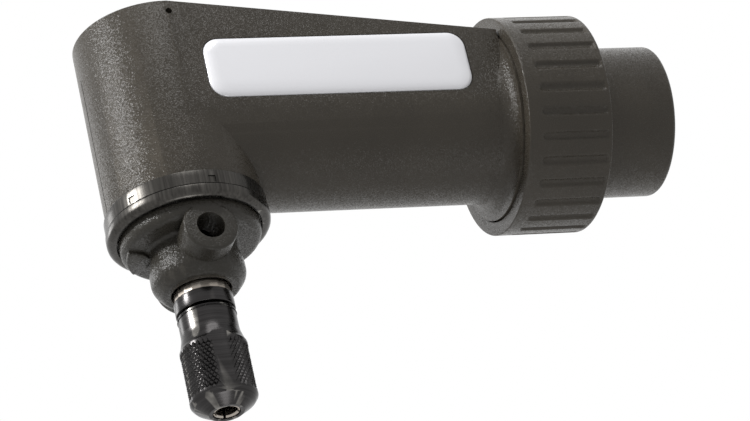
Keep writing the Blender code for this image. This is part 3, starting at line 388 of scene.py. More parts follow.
class Wires:
    """Short ways to place and join shader nodes."""

    def __init__(self, tree: bpy.types.NodeTree) -> None:
        """Takes the node tree to fill."""
        self.tree = tree

    def add(self, kind: str, **values: object) -> Node:
        """Adds a node.

        Args:
            kind: the node's type name.
            **values: its properties, where it has them.

        Returns:
            The node.
        """
        node = self.tree.nodes.new(kind)
        for name, value in values.items():
            if hasattr(node, name):
                setattr(node, name, value)
        return node

    def feed(self, node: Node, **inputs: object) -> Node:
        """Sets or links a node's inputs by name, with underscores for spaces.

        Args:
            node: the node.
            **inputs: a number, colour or output socket for each input.

        Returns:
            The same node.
        """
        for name, value in inputs.items():
            key = int(name[1:]) if name[0] == "i" and name[1:].isdigit() else name.replace("_", " ")
            socket = node.inputs[key]
            if isinstance(value, Socket):
                self.tree.links.new(value, socket)
            else:
                socket.default_value = value
        return node

    def math(
        self, operation: str, *values: object, clamp: bool = False, kind: str = "ShaderNodeMath"
    ) -> Socket:
        """A Math or Vector Math node.

        Args:
            operation: its operation.
            *values: numbers, vectors or sockets for its inputs.
            clamp: whether the result stays between 0 and 1.
            kind: the node's type name.

        Returns:
            Its output.
        """
        node = self.add(kind, operation=operation, use_clamp=clamp)
        for i, value in enumerate(values):
            self.feed(node, **{f"i{i}": value})
        return node.outputs[0]

    def bump(self, height: Socket, distance: float, strength: float) -> Socket:
        """A normal that follows a height.

        Args:
            height: the height, from 0 to 1.
            distance: what 1 stands for, in metres.
            strength: how much of it shows.

        Returns:
            The normal.
        """
        node = self.add("ShaderNodeBump")
        self.feed(node, Strength=strength, Distance=distance, Height=height)
        return node.outputs["Normal"]

    def noise(self, vector: Socket, scale: object, detail: float, roughness: float = 0.5) -> Socket:
        """A noise texture's value.

        Args:
            vector: the coordinates.
            scale: a number or socket.
            detail: octaves.
            roughness: how strong the finer octaves are.

        Returns:
            Its value output.
        """
        node = self.add("ShaderNodeTexNoise")
        self.feed(node, Vector=vector, Scale=scale, Detail=detail, Roughness=roughness)
        return node.outputs["Fac"]

    def span(self, value: object, low: float, high: float, to_low: object, to_high: object) -> Socket:
        """Maps a range of values to another and keeps it inside.

        Args:
            value: the value.
            low: start of its range.
            high: end of its range.
            to_low: what the start becomes.
            to_high: what the end becomes.

        Returns:
            The mapped value.
        """
        node = self.add("ShaderNodeMapRange", clamp=True)
        self.feed(node, Value=value, From_Min=low, From_Max=high, To_Min=to_low, To_Max=to_high)
        return node.outputs["Result"]

    def blend(self, factor: object, first: object, second: object) -> Socket:
        """Mixes two colours.

        Args:
            factor: how much of the second.
            first: a colour or socket.
            second: a colour or socket.

        Returns:
            The mixed colour.
        """
        node = self.add("ShaderNodeMix", data_type="RGBA")
        self.feed(node, i0=factor, i6=first, i7=second)
        return node.outputs[2]


class Effect:
    """A shader node group with named inputs and outputs, built once."""

    NAME = ""
    INPUTS: dict[str, float] = {}
    OUTPUTS: tuple[str, ...] = ()
    VECTORS: tuple[str, ...] = ()

    def __init__(self) -> None:
        """Makes the group and its sockets, and fills it."""
        self.tree = bpy.data.node_groups.new(self.NAME, "ShaderNodeTree")
        self.tree.interface.new_socket("Vector", in_out="INPUT", socket_type="NodeSocketVector")
        for name, value in self.INPUTS.items():
            socket = self.tree.interface.new_socket(name, in_out="INPUT", socket_type="NodeSocketFloat")
            socket.default_value = value
        for name in self.OUTPUTS:
            kind = "NodeSocketVector" if name in self.VECTORS else "NodeSocketFloat"
            self.tree.interface.new_socket(name, in_out="OUTPUT", socket_type=kind)
        wires = Wires(self.tree)
        start = wires.add("NodeGroupInput")
        end = wires.add("NodeGroupOutput")
        made = self.fill(wires, start)
        for name, socket in made.items():
            self.tree.links.new(socket, end.inputs[name])

    def fill(self, wires: Wires, start: Node) -> dict[str, Socket]:
        """Places the nodes inside the group.

        Args:
            wires: the group's tree.
            start: the group's input node.

        Returns:
            The socket behind each output.
        """
        raise NotImplementedError

    def use(self, wires: Wires, vector: Socket, **values: float) -> Node:
        """Places the group in a material.

        Args:
            wires: the material's tree.
            vector: the coordinates.
            **values: numbers for its inputs.

        Returns:
            The group node.
        """
        node = wires.tree.nodes.new("ShaderNodeGroup")
        node.node_tree = self.tree
        return wires.feed(node, Vector=vector, **values)


class MouldedGrain(Effect):
    """The fine spark-eroded grain of moulded plastic."""

    NAME = "moulded_grain"
    INPUTS = {"Grain": 4200.0, "Cloud": 90.0}
    OUTPUTS = ("Height", "Sheen", "Shade", "Tilt")
    VECTORS = ("Tilt",)

    def fill(self, wires: Wires, start: Node) -> dict[str, Socket]:
        """See Effect.fill."""
        vector = start.outputs["Vector"]
        fine = wires.noise(vector, start.outputs["Grain"], 2.0, 0.6)
        cells = wires.add("ShaderNodeTexVoronoi", feature="F1")
        wires.feed(cells, Vector=vector, Scale=start.outputs["Grain"])
        pits = wires.span(cells.outputs["Distance"], 0.0, 0.7, 0.0, 1.0)
        height = wires.math("ADD", wires.math("MULTIPLY", fine, 0.7), wires.math("MULTIPLY", pits, 0.5))
        cloud = wires.noise(vector, start.outputs["Cloud"], 3.0, 0.55)
        tilt = wires.math("SUBTRACT", cells.outputs["Color"], (0.5, 0.5, 0.5), kind=VECTOR_MATH)
        return {"Height": height, "Sheen": fine, "Shade": cloud, "Tilt": tilt}


class BrushedLines(Effect):
    """Fine lines left by turning or brushing, drawn out along one direction."""

    NAME = "brushed_lines"
    INPUTS = {"Fine": 1.0, "Coarse": 0.25}
    OUTPUTS = ("Lines", "Bands")

    def fill(self, wires: Wires, start: Node) -> dict[str, Socket]:
        """See Effect.fill."""
        vector = start.outputs["Vector"]
        fine = wires.noise(vector, start.outputs["Fine"], 3.0, 0.65)
        coarse = wires.noise(vector, start.outputs["Coarse"], 2.0, 0.5)
        return {"Lines": fine, "Bands": coarse}


class EdgeWearAndGlint(Effect):
    """A mask of the outer edges, broken up as light wear is; on the black steel the lightened edges are also a
    painted highlight on the knurl's points.
    """

    NAME = "edge_wear_and_glint"
    INPUTS = {"Start": 0.53, "End": 0.6, "Breakup": 600.0}
    OUTPUTS = ("Mask",)

    def fill(self, wires: Wires, start: Node) -> dict[str, Socket]:
        """See Effect.fill."""
        point = wires.add("ShaderNodeNewGeometry").outputs["Pointiness"]
        edge = wires.add("ShaderNodeMapRange", clamp=True)
        wires.feed(edge, Value=point, From_Min=start.outputs["Start"], From_Max=start.outputs["End"])
        broken = wires.noise(start.outputs["Vector"], start.outputs["Breakup"], 3.0)
        kept = wires.span(broken, 0.35, 0.6, 0.35, 1.0)
        return {"Mask": wires.math("MULTIPLY", edge.outputs["Result"], kept, clamp=True)}


class Effects:
    """The shared effects of all finishes."""

    def __init__(self) -> None:
        """Builds each group once."""
        self.grain = MouldedGrain()
        self.lines = BrushedLines()
        self.wear = EdgeWearAndGlint()


def tint(color: Color, share: float = 1.0, lift: float = 0.0) -> tuple[float, ...]:
    """A colour made darker or lighter.

    Args:
        color: the colour.
        share: what each part is multiplied by.
        lift: what is added to each part.

    Returns:
        The new colour with its alpha.
    """
    return (*(min(1.0, share * part + lift) for part in color), 1.0)


@dataclass(frozen=True)
class Finish:
    """What every finish has."""

    name: str
    color: Color
    roughness: float

    def material(self, effects: Effects) -> bpy.types.Material:
        """Builds the material.

        Args:
            effects: the shared node groups.

        Returns:
            The material.
        """
        material = bpy.data.materials.new(self.name)
        material.use_nodes = True
        material.diffuse_color = tint(self.color)
        wires = Wires(material.node_tree)
        shader = material.node_tree.nodes["Principled BSDF"]
        shader.inputs["Base Color"].default_value = tint(self.color)
        shader.inputs["Roughness"].default_value = self.roughness
        place = wires.add("ShaderNodeTexCoord").outputs["Object"]
        self.dress(wires, shader, place, effects)
        return material

    def dress(self, wires: Wires, shader: Node, place: Socket, effects: Effects) -> None:
        """Adds what is special to the finish.

        Args:
            wires: the material's tree.
            shader: its Principled BSDF.
            place: Object coordinates.
            effects: the shared node groups.
        """
        raise NotImplementedError


@dataclass(frozen=True)
class Plastic(Finish):
    """Moulded plastic with a fine grain."""

    grain: float = 6800.0
    depth: float = 0.03 * MM
    strength: float = 1.0
    sparkle: float = 0.34
    specular: float = 0.2
    spread: float = 0.12
    shade: float = 0.86
    wear: float = 0.25
    worn: tuple[float, float] = (2.6, 0.01)

    def dress(self, wires: Wires, shader: Node, place: Socket, effects: Effects) -> None:
        """See Finish.dress."""
        skin = effects.grain.use(wires, place, Grain=self.grain)
        wear = effects.wear.use(wires, place)
        cloud = wires.span(skin.outputs["Shade"], 0.35, 0.65, 0.0, 1.0)
        mottled = wires.blend(cloud, tint(self.color, self.shade), tint(self.color))
        amount = wires.math("MULTIPLY", wear.outputs["Mask"], self.wear)
        wires.feed(shader, Base_Color=wires.blend(amount, mottled, tint(self.color, *self.worn)))
        low, high = self.roughness - self.spread / 2, self.roughness + self.spread / 2
        wires.feed(shader, Roughness=wires.span(skin.outputs["Sheen"], 0.3, 0.7, low, high))
        shader.inputs["Specular IOR Level"].default_value = self.specular
        bump = wires.bump(skin.outputs["Height"], self.depth, self.strength)
        sparkle = (self.sparkle, self.sparkle, self.sparkle)
        tilt = wires.math("MULTIPLY_ADD", skin.outputs["Tilt"], sparkle, bump, kind=VECTOR_MATH)
        wires.feed(shader, Normal=wires.math("NORMALIZE", tilt, kind=VECTOR_MATH))


@dataclass(frozen=True)
class Metal(Finish):
    """Machined metal with the lines of its last cut and lightened outer edges: wear, and on the black steel
    also a painted highlight on the knurl.
    """

    metallic: float = 1.0
    stretch: tuple[float, float, float] = (60.0, 60.0, 4000.0)
    spread: float = 0.14
    contrast: float = 0.35
    depth: float = 0.006 * MM
    # Lighter colour of the outer edges: edge wear, and on the black steel partly a painted highlight on the
    # knurl's points.
    edge: Color = (0.5, 0.48, 0.44)
    wear: float = 0.6

    def dress(self, wires: Wires, shader: Node, place: Socket, effects: Effects) -> None:
        """See Finish.dress."""
        mapping = wires.add("ShaderNodeMapping")
        wires.feed(mapping, Vector=place, Scale=self.stretch, Location=(REACH * self.stretch[0], 0.0, 0.0))
        lines = effects.lines.use(wires, mapping.outputs["Vector"])
        wear = effects.wear.use(wires, place)
        dark, light = tint(self.color, 1 - self.contrast), tint(self.color, 1 + self.contrast)
        streaks = wires.blend(wires.span(lines.outputs["Lines"], 0.3, 0.7, 0.0, 1.0), dark, light)
        # Outer edges lightened towards the edge colour: wear, and on the black steel's knurl partly a painted
        # highlight.
        amount = wires.math("MULTIPLY", wear.outputs["Mask"], self.wear)
        wires.feed(shader, Base_Color=wires.blend(amount, streaks, tint(self.edge)))
        low, high = self.roughness - self.spread / 2, self.roughness + self.spread / 2
        wires.feed(shader, Roughness=wires.span(lines.outputs["Bands"], 0.3, 0.7, low, high))
        shader.inputs["Metallic"].default_value = self.metallic
        wires.feed(shader, Normal=wires.bump(lines.outputs["Lines"], self.depth, 0.5))


@dataclass(frozen=True)
class Enamel(Finish):
    """The clear domed face of the blank badge."""

    coat: float = 0.4

    def dress(self, wires: Wires, shader: Node, place: Socket, effects: Effects) -> None:
        """See Finish.dress."""
        skin = effects.grain.use(wires, place, Grain=900.0, Cloud=60.0)
        faint = tint(self.color, 0.97)
        wires.feed(shader, Base_Color=wires.blend(skin.outputs["Shade"], faint, tint(self.color)))
        rough = wires.span(skin.outputs["Sheen"], 0.3, 0.7, self.roughness, self.roughness + 0.05)
        wires.feed(shader, Roughness=rough)
        shader.inputs["Coat Weight"].default_value = self.coat
        shader.inputs["Coat Roughness"].default_value = 0.04
        wires.feed(shader, Normal=wires.bump(skin.outputs["Shade"], 0.01 * MM, 0.05))


@dataclass(frozen=True)
class Felt(Finish):
    """Pressed felt with short fibres."""

    def dress(self, wires: Wires, shader: Node, place: Socket, effects: Effects) -> None:
        """See Finish.dress."""
        fibres = wires.noise(place, 5000.0, 6.0, 0.75)
        wires.feed(shader, Base_Color=wires.blend(fibres, tint(self.color, 0.6), tint(self.color)))
        wires.feed(shader, Normal=wires.bump(fibres, 0.1 * MM, 0.8))


class Slot(Enum):
    """The record's material slots, each with its finish."""

    CHARCOAL = Plastic("charcoal_plastic", (0.047, 0.0405, 0.0315), 0.25)
    CAP = Plastic("cap_plastic", (0.034, 0.031, 0.0255), 0.24)
    BADGE = Enamel("badge_white", (0.82, 0.82, 0.85), 0.2)
    BAND = Metal(
        "band_steel", (0.047, 0.0445, 0.041), 0.25, stretch=(2600.0, 2600.0, 90.0), contrast=0.4, wear=0.3
    )
    BRIGHT = Metal("bright_steel", (0.3, 0.265, 0.23), 0.27)
    # Its lightened edges are partly edge wear, partly a painted highlight on the knurl's points.
    BLACK = Metal("black_steel", (0.035, 0.0335, 0.0335), 0.24, contrast=0.3, wear=0.3)
    GEAR = Metal("gear_steel", (0.36, 0.35, 0.34), 0.35)
    BRONZE = Metal("bronze", (0.45, 0.3, 0.16), 0.4)
    SPRING = Metal("spring_steel", (0.25, 0.26, 0.28), 0.3)
    FELT = Felt("felt", (0.2, 0.19, 0.17), 0.95)


class Paintshop:
    """Builds each finish once and puts it on pieces."""

    def __init__(self) -> None:
        """Builds the shared effects and all finishes."""
        effects = Effects()
        self.finishes = {slot: slot.value.material(effects) for slot in Slot}

    def paint(self, obj: Obj, slot: Slot) -> None:
        """Gives a piece one finish.

        Args:
            obj: the piece.
            slot: its material slot.
        """
        obj.data.materials.clear()
        obj.data.materials.append(self.finishes[slot])

    def repaint_frame(self) -> None:
        """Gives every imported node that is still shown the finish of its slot."""
        by_name = {slot.value.name: self.finishes[slot] for slot in Slot}
        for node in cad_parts.values():
            for held in node.material_slots:
                name = held.material.name.split(".")[0] if held.material else ""
                if name in by_name:
                    held.material = by_name[name]


@dataclass
class Assembly:
    """A sub-assembly: it builds its pieces, dresses them and lets them ride on a body."""

    shop: Paintshop
    made: list[Obj] = field(default_factory=list)

    def hand_over(
        self, obj: Obj, body: str, slot: Slot, replaced: Iterable[str] = (), angle: float = 30.0
    ) -> None:
        """Finishes one piece: shading, material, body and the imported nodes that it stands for.

        Args:
            obj: the piece.
            body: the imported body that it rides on.
            slot: its finish.
            replaced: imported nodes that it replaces.
            angle: smooth shading limit in degrees.
        """
        Bench.shade(obj, angle)
        self.shop.paint(obj, slot)
        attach(obj, body)
        if replaced:
            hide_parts(*replaced)
        self.made.append(obj)
        LOG.info("%s: %d faces on %s", obj.name, len(obj.data.polygons), body)

    def build(self) -> None:
        """Builds and dresses all pieces."""
        raise NotImplementedError


@dataclass
class Housing(Assembly):
    """The moulded housing and its blank badge."""

    head_radius: float = 11.7 * MM
    rise: float = 16.75 * MM
    drop: float = 12.6 * MM
    barrel_radius: float = 11.68 * MM
    barrel_end: float = 50.5 * MM
    spigot_end: float = 60.2 * MM
    slope: float = math.radians(7.45)
    flare_radius: float = 14.3 * MM
    flare_sweep: float = 2.7 * MM
    flare_arc: float = 86.0
    flare_overlap: float = 0.3 * MM
    flare_steps: int = 12
    sides: int = 144
    edge: float = 0.55 * MM
    badge_size: tuple[float, float] = (41.0 * MM, 10.1 * MM)
    badge_centre: tuple[float, float] = (24.35 * MM, 4.75 * MM)
    badge_corner: float = 2.6 * MM
    badge_low: float = 11.2 * MM
    badge_high: float = 12.2 * MM
    badge_dome: float = 0.62 * MM
    pocket_depth: float = 0.5 * MM
    pocket_gap: float = 0.1 * MM
    line_half: float = 0.11 * MM
    line_depth: float = 0.3 * MM
    line_top: float = 10.5 * MM
    mark_radius: float = 0.5 * MM
    mark_depth: float = 0.9 * MM
    mark_height: float = 14.95 * MM

    def build(self) -> None:
        """Builds the shell and the badge."""
        self.hand_over(self.shell(), "head", Slot.CHARCOAL, ["main_housing"])
        self.hand_over(self.badge(), "head", Slot.BADGE, ["name_badge"], 50.0)

    def barrel(self) -> Obj:
        """The barrel: the lower half of a cylinder, drawn up to the crown."""
        ends = Vector((-REACH, 0, 0)), Vector((self.barrel_end - REACH, 0, 0))
        obj = Bench.cylinder("barrel", self.barrel_radius, *ends, self.sides)
        Bench.slice(obj, (0, 0, 0), (0, 0, 1), 1e-4)
        Bench.open(obj)
        Bench.pick(obj, "faces", lambda face: face.normal.z > 0.99)
        bpy.ops.mesh.extrude_region_move(TRANSFORM_OT_translate={"value": (0, 0, self.rise + MM)})
        Bench.close()
        Bench.outward(obj)
        return obj

    def bores(self) -> list[Obj]:
        """The tools for the two bores of the housing."""
        spindle = filleted([
            (0, 15), (5.55, 15), (5.55, 10.9), (8.1, 10.9), (8.1, -8.5), (9.6, -8.5), (9.6, -10.2),
            (10.7, -10.2), (10.7, -14), (0, -14),
        ])
        drive = filleted([
            (0, 62), (12.62, 62), (12.62, 57.8), (9.6, 57.8), (9.6, 10.5), (8.3, 10.5), (8.3, 0), (0, 0),
        ])
        return [
            Bench.lathe("spindle_bore", spindle, Axis.SPINDLE, 64),
            Bench.lathe("drive_bore", drive, Axis.DRIVE, 60),
        ]

    def flare(self) -> Obj:
        """The concave flare in front of the clamp ring, with the spigot behind it."""
        sweep = self.barrel_end - self.flare_sweep
        profile = [(0.0, self.spigot_end), (self.flare_radius, self.spigot_end)]
        for i in range(self.flare_steps + 1):
            turn = math.radians(90 + self.flare_arc * i / self.flare_steps)
            radius = self.flare_radius + self.flare_sweep * math.cos(turn)
            profile.append((radius, sweep + self.flare_sweep * math.sin(turn)))
        low = sweep - self.flare_sweep
        profile += [(self.barrel_radius - self.flare_overlap, low), (0.0, low)]
        return Bench.lathe("flare", profile, Axis.DRIVE, self.sides)

    def shell(self) -> Obj:
        """The housing: head and barrel joined, the crown sloped, the edges rounded, then bored and marked."""
        foot, top = Vector((-REACH, 0, -self.drop)), Vector((-REACH, 0, self.rise + 2 * MM))
        obj = Bench.cylinder("housing_shell", self.head_radius, foot, top, self.sides)
        Bench.combine(obj, self.barrel(), "UNION")
        for normal in ((math.sin(self.slope), 0, math.cos(self.slope)), (0, 0, 1)):
            Bench.slice(obj, (-REACH, 0, self.rise), normal, 1e-7)
        Bench.soften(obj, self.edge, 4, 40.0)
        Bench.combine(obj, self.flare(), "UNION")
        for tool in self.bores():
            Bench.combine(obj, tool)
        for tool in self.marks():
            Bench.combine(obj, tool)
        Bench.outward(obj)
        return obj

    def marks(self) -> list[Obj]:
        """The tools for the badge's pocket, the parting line and the mould mark."""
        depth = self.barrel_radius - self.pocket_depth
        pocket = self.plate("badge_pocket", self.pocket_gap, depth, depth + 3 * MM)
        line = Bench.block(
            "parting_line",
            Vector((-REACH - self.head_radius - MM, -self.line_half, -self.drop - MM)),
            Vector((-REACH - self.head_radius + self.line_depth, self.line_half, self.line_top)),
        )
        start = Vector((-REACH, -self.head_radius - MM, self.mark_height))
        end = Vector((-REACH, -self.head_radius + self.mark_depth, self.mark_height))
        return [pocket, line, Bench.cylinder("mould_mark", self.mark_radius, start, end, 20)]

    def plate(self, name: str, margin: float, low: float, high: float) -> Obj:
        """A plate with round corners on the near side of the barrel.

        Args:
            name: its name.
            margin: added all round.
            low: depth of its back from the drive axis.
            high: depth of its face.

        Returns:
            The plate.
        """
        half = (self.badge_size[0] / 2 + margin, self.badge_size[1] / 2 + margin)
        x, z = self.badge_centre[0] - REACH, self.badge_centre[1]
        corners = Vector((x - half[0], -high, z - half[1])), Vector((x + half[0], -low, z + half[1]))
        obj = Bench.block(name, *corners)
        Bench.open(obj)
        Bench.pick(obj, "edges", lambda edge: abs(edge.verts[0].co.y - edge.verts[1].co.y) > MERGE)
        bpy.ops.mesh.bevel(offset=self.badge_corner + margin, segments=12, profile=0.5, affect="EDGES")
        Bench.close()
        return obj

    def badge(self) -> Obj:
        """The blank badge: a plate whose face swells in five insets to a low dome."""
        rim = self.badge_high - self.badge_dome
        obj = self.plate("blank_badge", 0.0, self.badge_low, rim)
        Bench.open(obj)
        Bench.pick(obj, "faces", lambda face: face.normal.y < -0.9)
        for width, share in ((0.1, 0.3), (0.18, 0.26), (0.3, 0.2), (0.5, 0.15), (0.8, 0.09)):
            bpy.ops.mesh.inset(thickness=width * MM, depth=share * self.badge_dome)
        Bench.close()
        Bench.outward(obj)
        return obj


@dataclass
class ClampEnd(Assembly):
    """The grooved clamp ring and the threaded collar."""

    front: float = 50.8
    length: float = 13.4
    radius: float = 16.58
    bore: float = 14.42
    grooves: int = 28
    groove_share: float = 0.41
    groove_depth: float = 0.4
    groove_stop: float = 0.5
    groove_setback: float = 2.05
    groove_turn: float = math.radians(-4.6)
    groove_wall: float = 0.5
    columns: int = 20
    row: float = 0.19
    passes: int = 8
    thread_pitch: float = 25.4 / 12
    thread_radius: float = 9.45
    thread_depth: float = 0.85
    thread_start: float = 66.0

    def build(self) -> None:
        """Builds the ring, the collar and its thread."""
        self.hand_over(self.ring(), "clamp", Slot.CHARCOAL, ["coupling_ring"], 50.0)
        self.hand_over(self.collar(), "collar", Slot.CHARCOAL, ["tail_collar"])
        self.hand_over(self.thread(), "collar", Slot.CHARCOAL, (), 50.0)

    def ring(self) -> Obj:
        """The clamp ring: turned, then each groove pressed in step by step towards the axis."""
        rear = self.front + self.length
        start = self.front + self.groove_setback
        rows = [self.front + 0.9, start - 0.5]
        rows += [start + self.row * i for i in range(12)]
        rows += [self.front + 6.5, self.front + 9.0]
        rows += [rear - back for back in (1.6, 1.2, 1.0, 0.8, 0.6, 0.45)]
        profile = filleted(
            [(self.radius, rear, 0.3)] + [(self.radius, row) for row in reversed(rows)]
            + [(self.radius, self.front, 0.22), (self.bore, self.front, 0.2), (self.bore, rear - 1.8),
               (11.62, rear - 1.8), (11.62, rear, 0.15)],
            4,
        )
        obj = Bench.lathe("grooved_ring", profile, Axis.DRIVE, self.grooves * self.columns)
        share = 1 - self.groove_depth / self.passes / self.radius
        Bench.open(obj)
        for level in range(self.passes):
            depth = (level + 0.5) / self.passes
            Bench.pick(obj, "verts", lambda vert: self.pressed(vert.co) > depth)
            bpy.ops.transform.resize(value=(1, share, share), center_override=Axis.DRIVE.centre())
        Bench.close()
        Bench.turn(obj, self.groove_turn + math.tau / self.grooves * 0.25, Axis.DRIVE)
        Bench.outward(obj)
        return obj

    def pressed(self, place: Vector) -> float:
        """How far a point of the ring is pressed in, from 0 to 1.

        Args:
            place: the point, before the ring is turned.

        Returns:
            The share of the groove's depth.
        """
        radius, turn, along = Axis.DRIVE.polar(place)
        if radius < (self.bore + 0.8) * MM:
            return 0.0
        pitch = math.tau / self.grooves
        half = self.groove_share * pitch / 2 * self.radius
        aside = ((turn + pitch / 2) % pitch - pitch / 2) * self.radius
        short = min(0.0, along / MM - self.front - self.groove_setback - half)
        inside = (half - math.hypot(aside, short)) / self.groove_wall
        close = (self.front + self.length - self.groove_stop - along / MM) / self.groove_wall
        inside = min(1.0, max(0.0, min(inside, close)))
        return inside * inside * (3 - 2 * inside)

    def collar(self) -> Obj:
        """The collar that screws on the tool: sleeve, flange behind the ring's lip and tapped bore."""
        profile = filleted([
            (11.5, 76.7, 0.7), (11.5, 62.3), (13.4, 62.3, 0.15), (13.4, 60.3, 0.15), (8.0, 60.3, 0.3),
            (8.0, 65.2, 0.2), (9.42, 65.2), (9.42, 75.9), (10.1, 76.7, 0.12),
        ])
        return Bench.lathe("collar_sleeve", profile, Axis.DRIVE, 128)

    def thread(self) -> Obj:
        """The internal thread: a blunt ridge wound round the bore."""
        pitch = self.thread_pitch
        obj = Bench.point("collar_thread", Axis.DRIVE.point(self.thread_radius * MM, self.thread_start * MM))
        flank, crest, rise = 0.4 * pitch, 0.16 * pitch, self.thread_depth
        steps = [Vector((flank, 0, -rise)), Vector((crest, 0, 0)), Vector((flank, 0, rise))]
        steps.append(-sum(steps, Vector()))
        for step in steps:
            bpy.ops.mesh.extrude_region_move(TRANSFORM_OT_translate={"value": step * MM})
        bpy.ops.mesh.select_all(action="SELECT")
        bpy.ops.mesh.remove_doubles(threshold=MERGE)
        Bench.close()
        Bench.modify(
            obj, "SCREW", axis="X", angle=math.tau, screw_offset=pitch * MM, iterations=4, steps=64,
            render_steps=64, use_merge_vertices=False,
        )
        Bench.open(obj, whole=True)
        bpy.ops.mesh.fill_holes(sides=len(steps))
        Bench.close()
        Bench.outward(obj)
        return obj


@dataclass
class Nose(Assembly):
    """The steel band and the nose cap under the head."""

    notches: int = 6
    notch_turn: float = math.radians(-85)
    lock_turn: float = math.radians(-90)
    lock_drop: float = 20.95
    lock_radius: float = 2.1
    boss_radius: float = 4.05
    boss_reaches: tuple[float, float] = (10.3, 9.2)
    pad_turn: float = math.radians(161)
    pad_circle: float = 9.5
    pad_radius: float = 3.2
    pad_limit: float = 9.8
    steps: int = 216

    def build(self) -> None:
        """Builds the band and the cap."""
        self.hand_over(self.band(), "head", Slot.BAND, ["bearing_band"])
        self.hand_over(self.cap(), "head", Slot.CAP, ["nose_cap"], 40.0)

    def band(self) -> Obj:
        """The band: turned with a fine groove over its foot, then six spanner notches pressed in."""
        profile = filleted([
            (10.6, -10.3), (10.6, -12.7), (12.05, -12.7, 0.12), (12.05, -13.7), (12.05, -14.8),
            (12.05, -14.92, 0.03), (11.9, -14.92), (11.9, -15.07), (12.2, -15.07, 0.1), (12.2, -16.95, 0.95),
            (10.72, -16.95, 0.15), (10.72, -15.95), (6.4, -15.95), (6.4, -14.7), (9.6, -14.7), (9.6, -10.3),
        ])
        obj = Bench.lathe("steel_band", profile, Axis.SPINDLE, self.steps)
        for i in range(self.notches):
            tool = Bench.block("notch", spot(11.87, -0.55, -14.8), spot(13, 0.55, -13.7))
            Bench.turn(tool, self.notch_turn + math.tau * i / self.notches, Axis.SPINDLE)
            Bench.combine(obj, tool)
        return obj

    def cap(self) -> Obj:
        """The cap: disc and rounded hub turned in one, two lock bosses, a stop pad and the lock hole."""
        profile = filleted([
            (10.5, -16.05), (10.5, -19.05, 1.3), (6.5, -19.05, 0.6), (6.55, -20.6), (7.02, -22.6, 2.0),
            (7.05, -24.6, 2.2), (5.6, -26.4, 0.9), (4.44, -26.4, 0.2), (4.44, -24.4), (5.2, -23.6),
            (5.2, -19.05), (6.4, -17.85), (6.4, -16.05),
        ], 6)
        obj = Bench.lathe("nose_cap_body", profile, Axis.SPINDLE, 128)
        for side, reach in enumerate(self.boss_reaches):
            turn = self.lock_turn + math.pi * side
            ends = self.spoke(5.4, turn), self.spoke(reach, turn)
            boss = Bench.cylinder("boss", self.boss_radius * MM, *ends, 72)
            Bench.soften(boss, 0.45 * MM, 4, 60.0)
            Bench.combine(obj, boss, "UNION")
        Bench.combine(obj, self.pad(), "UNION")
        ends = self.spoke(-12, self.lock_turn), self.spoke(12, self.lock_turn)
        hole = Bench.cylinder("hole", self.lock_radius * MM, *ends, 56)
        Bench.combine(obj, hole)
        Bench.outward(obj)
        return obj

    def spoke(self, radius: float, turn: float) -> Vector:
        """A point at the lock hole's level.

        Args:
            radius: in millimetres from the spindle axis.
            turn: in radians.

        Returns:
            The point.
        """
        return spot(radius * math.cos(turn), radius * math.sin(turn), -self.lock_drop)

    def pad(self) -> Obj:
        """The low round stop pad on the disc's face, cut off at the disc's edge."""
        x, y = (self.pad_circle * part(self.pad_turn) for part in (math.cos, math.sin))
        obj = Bench.cylinder("pad", self.pad_radius * MM, spot(x, y, -19.5), spot(x, y, -17.8), 64)
        limit = Bench.cylinder("limit", self.pad_limit * MM, spot(0, 0, -21), spot(0, 0, -16), 128)
        Bench.combine(obj, limit, "INTERSECT")
        Bench.outward(obj)
        Bench.soften(obj, 0.15 * MM, 2, 60.0)
        Bench.outward(obj)
        return obj


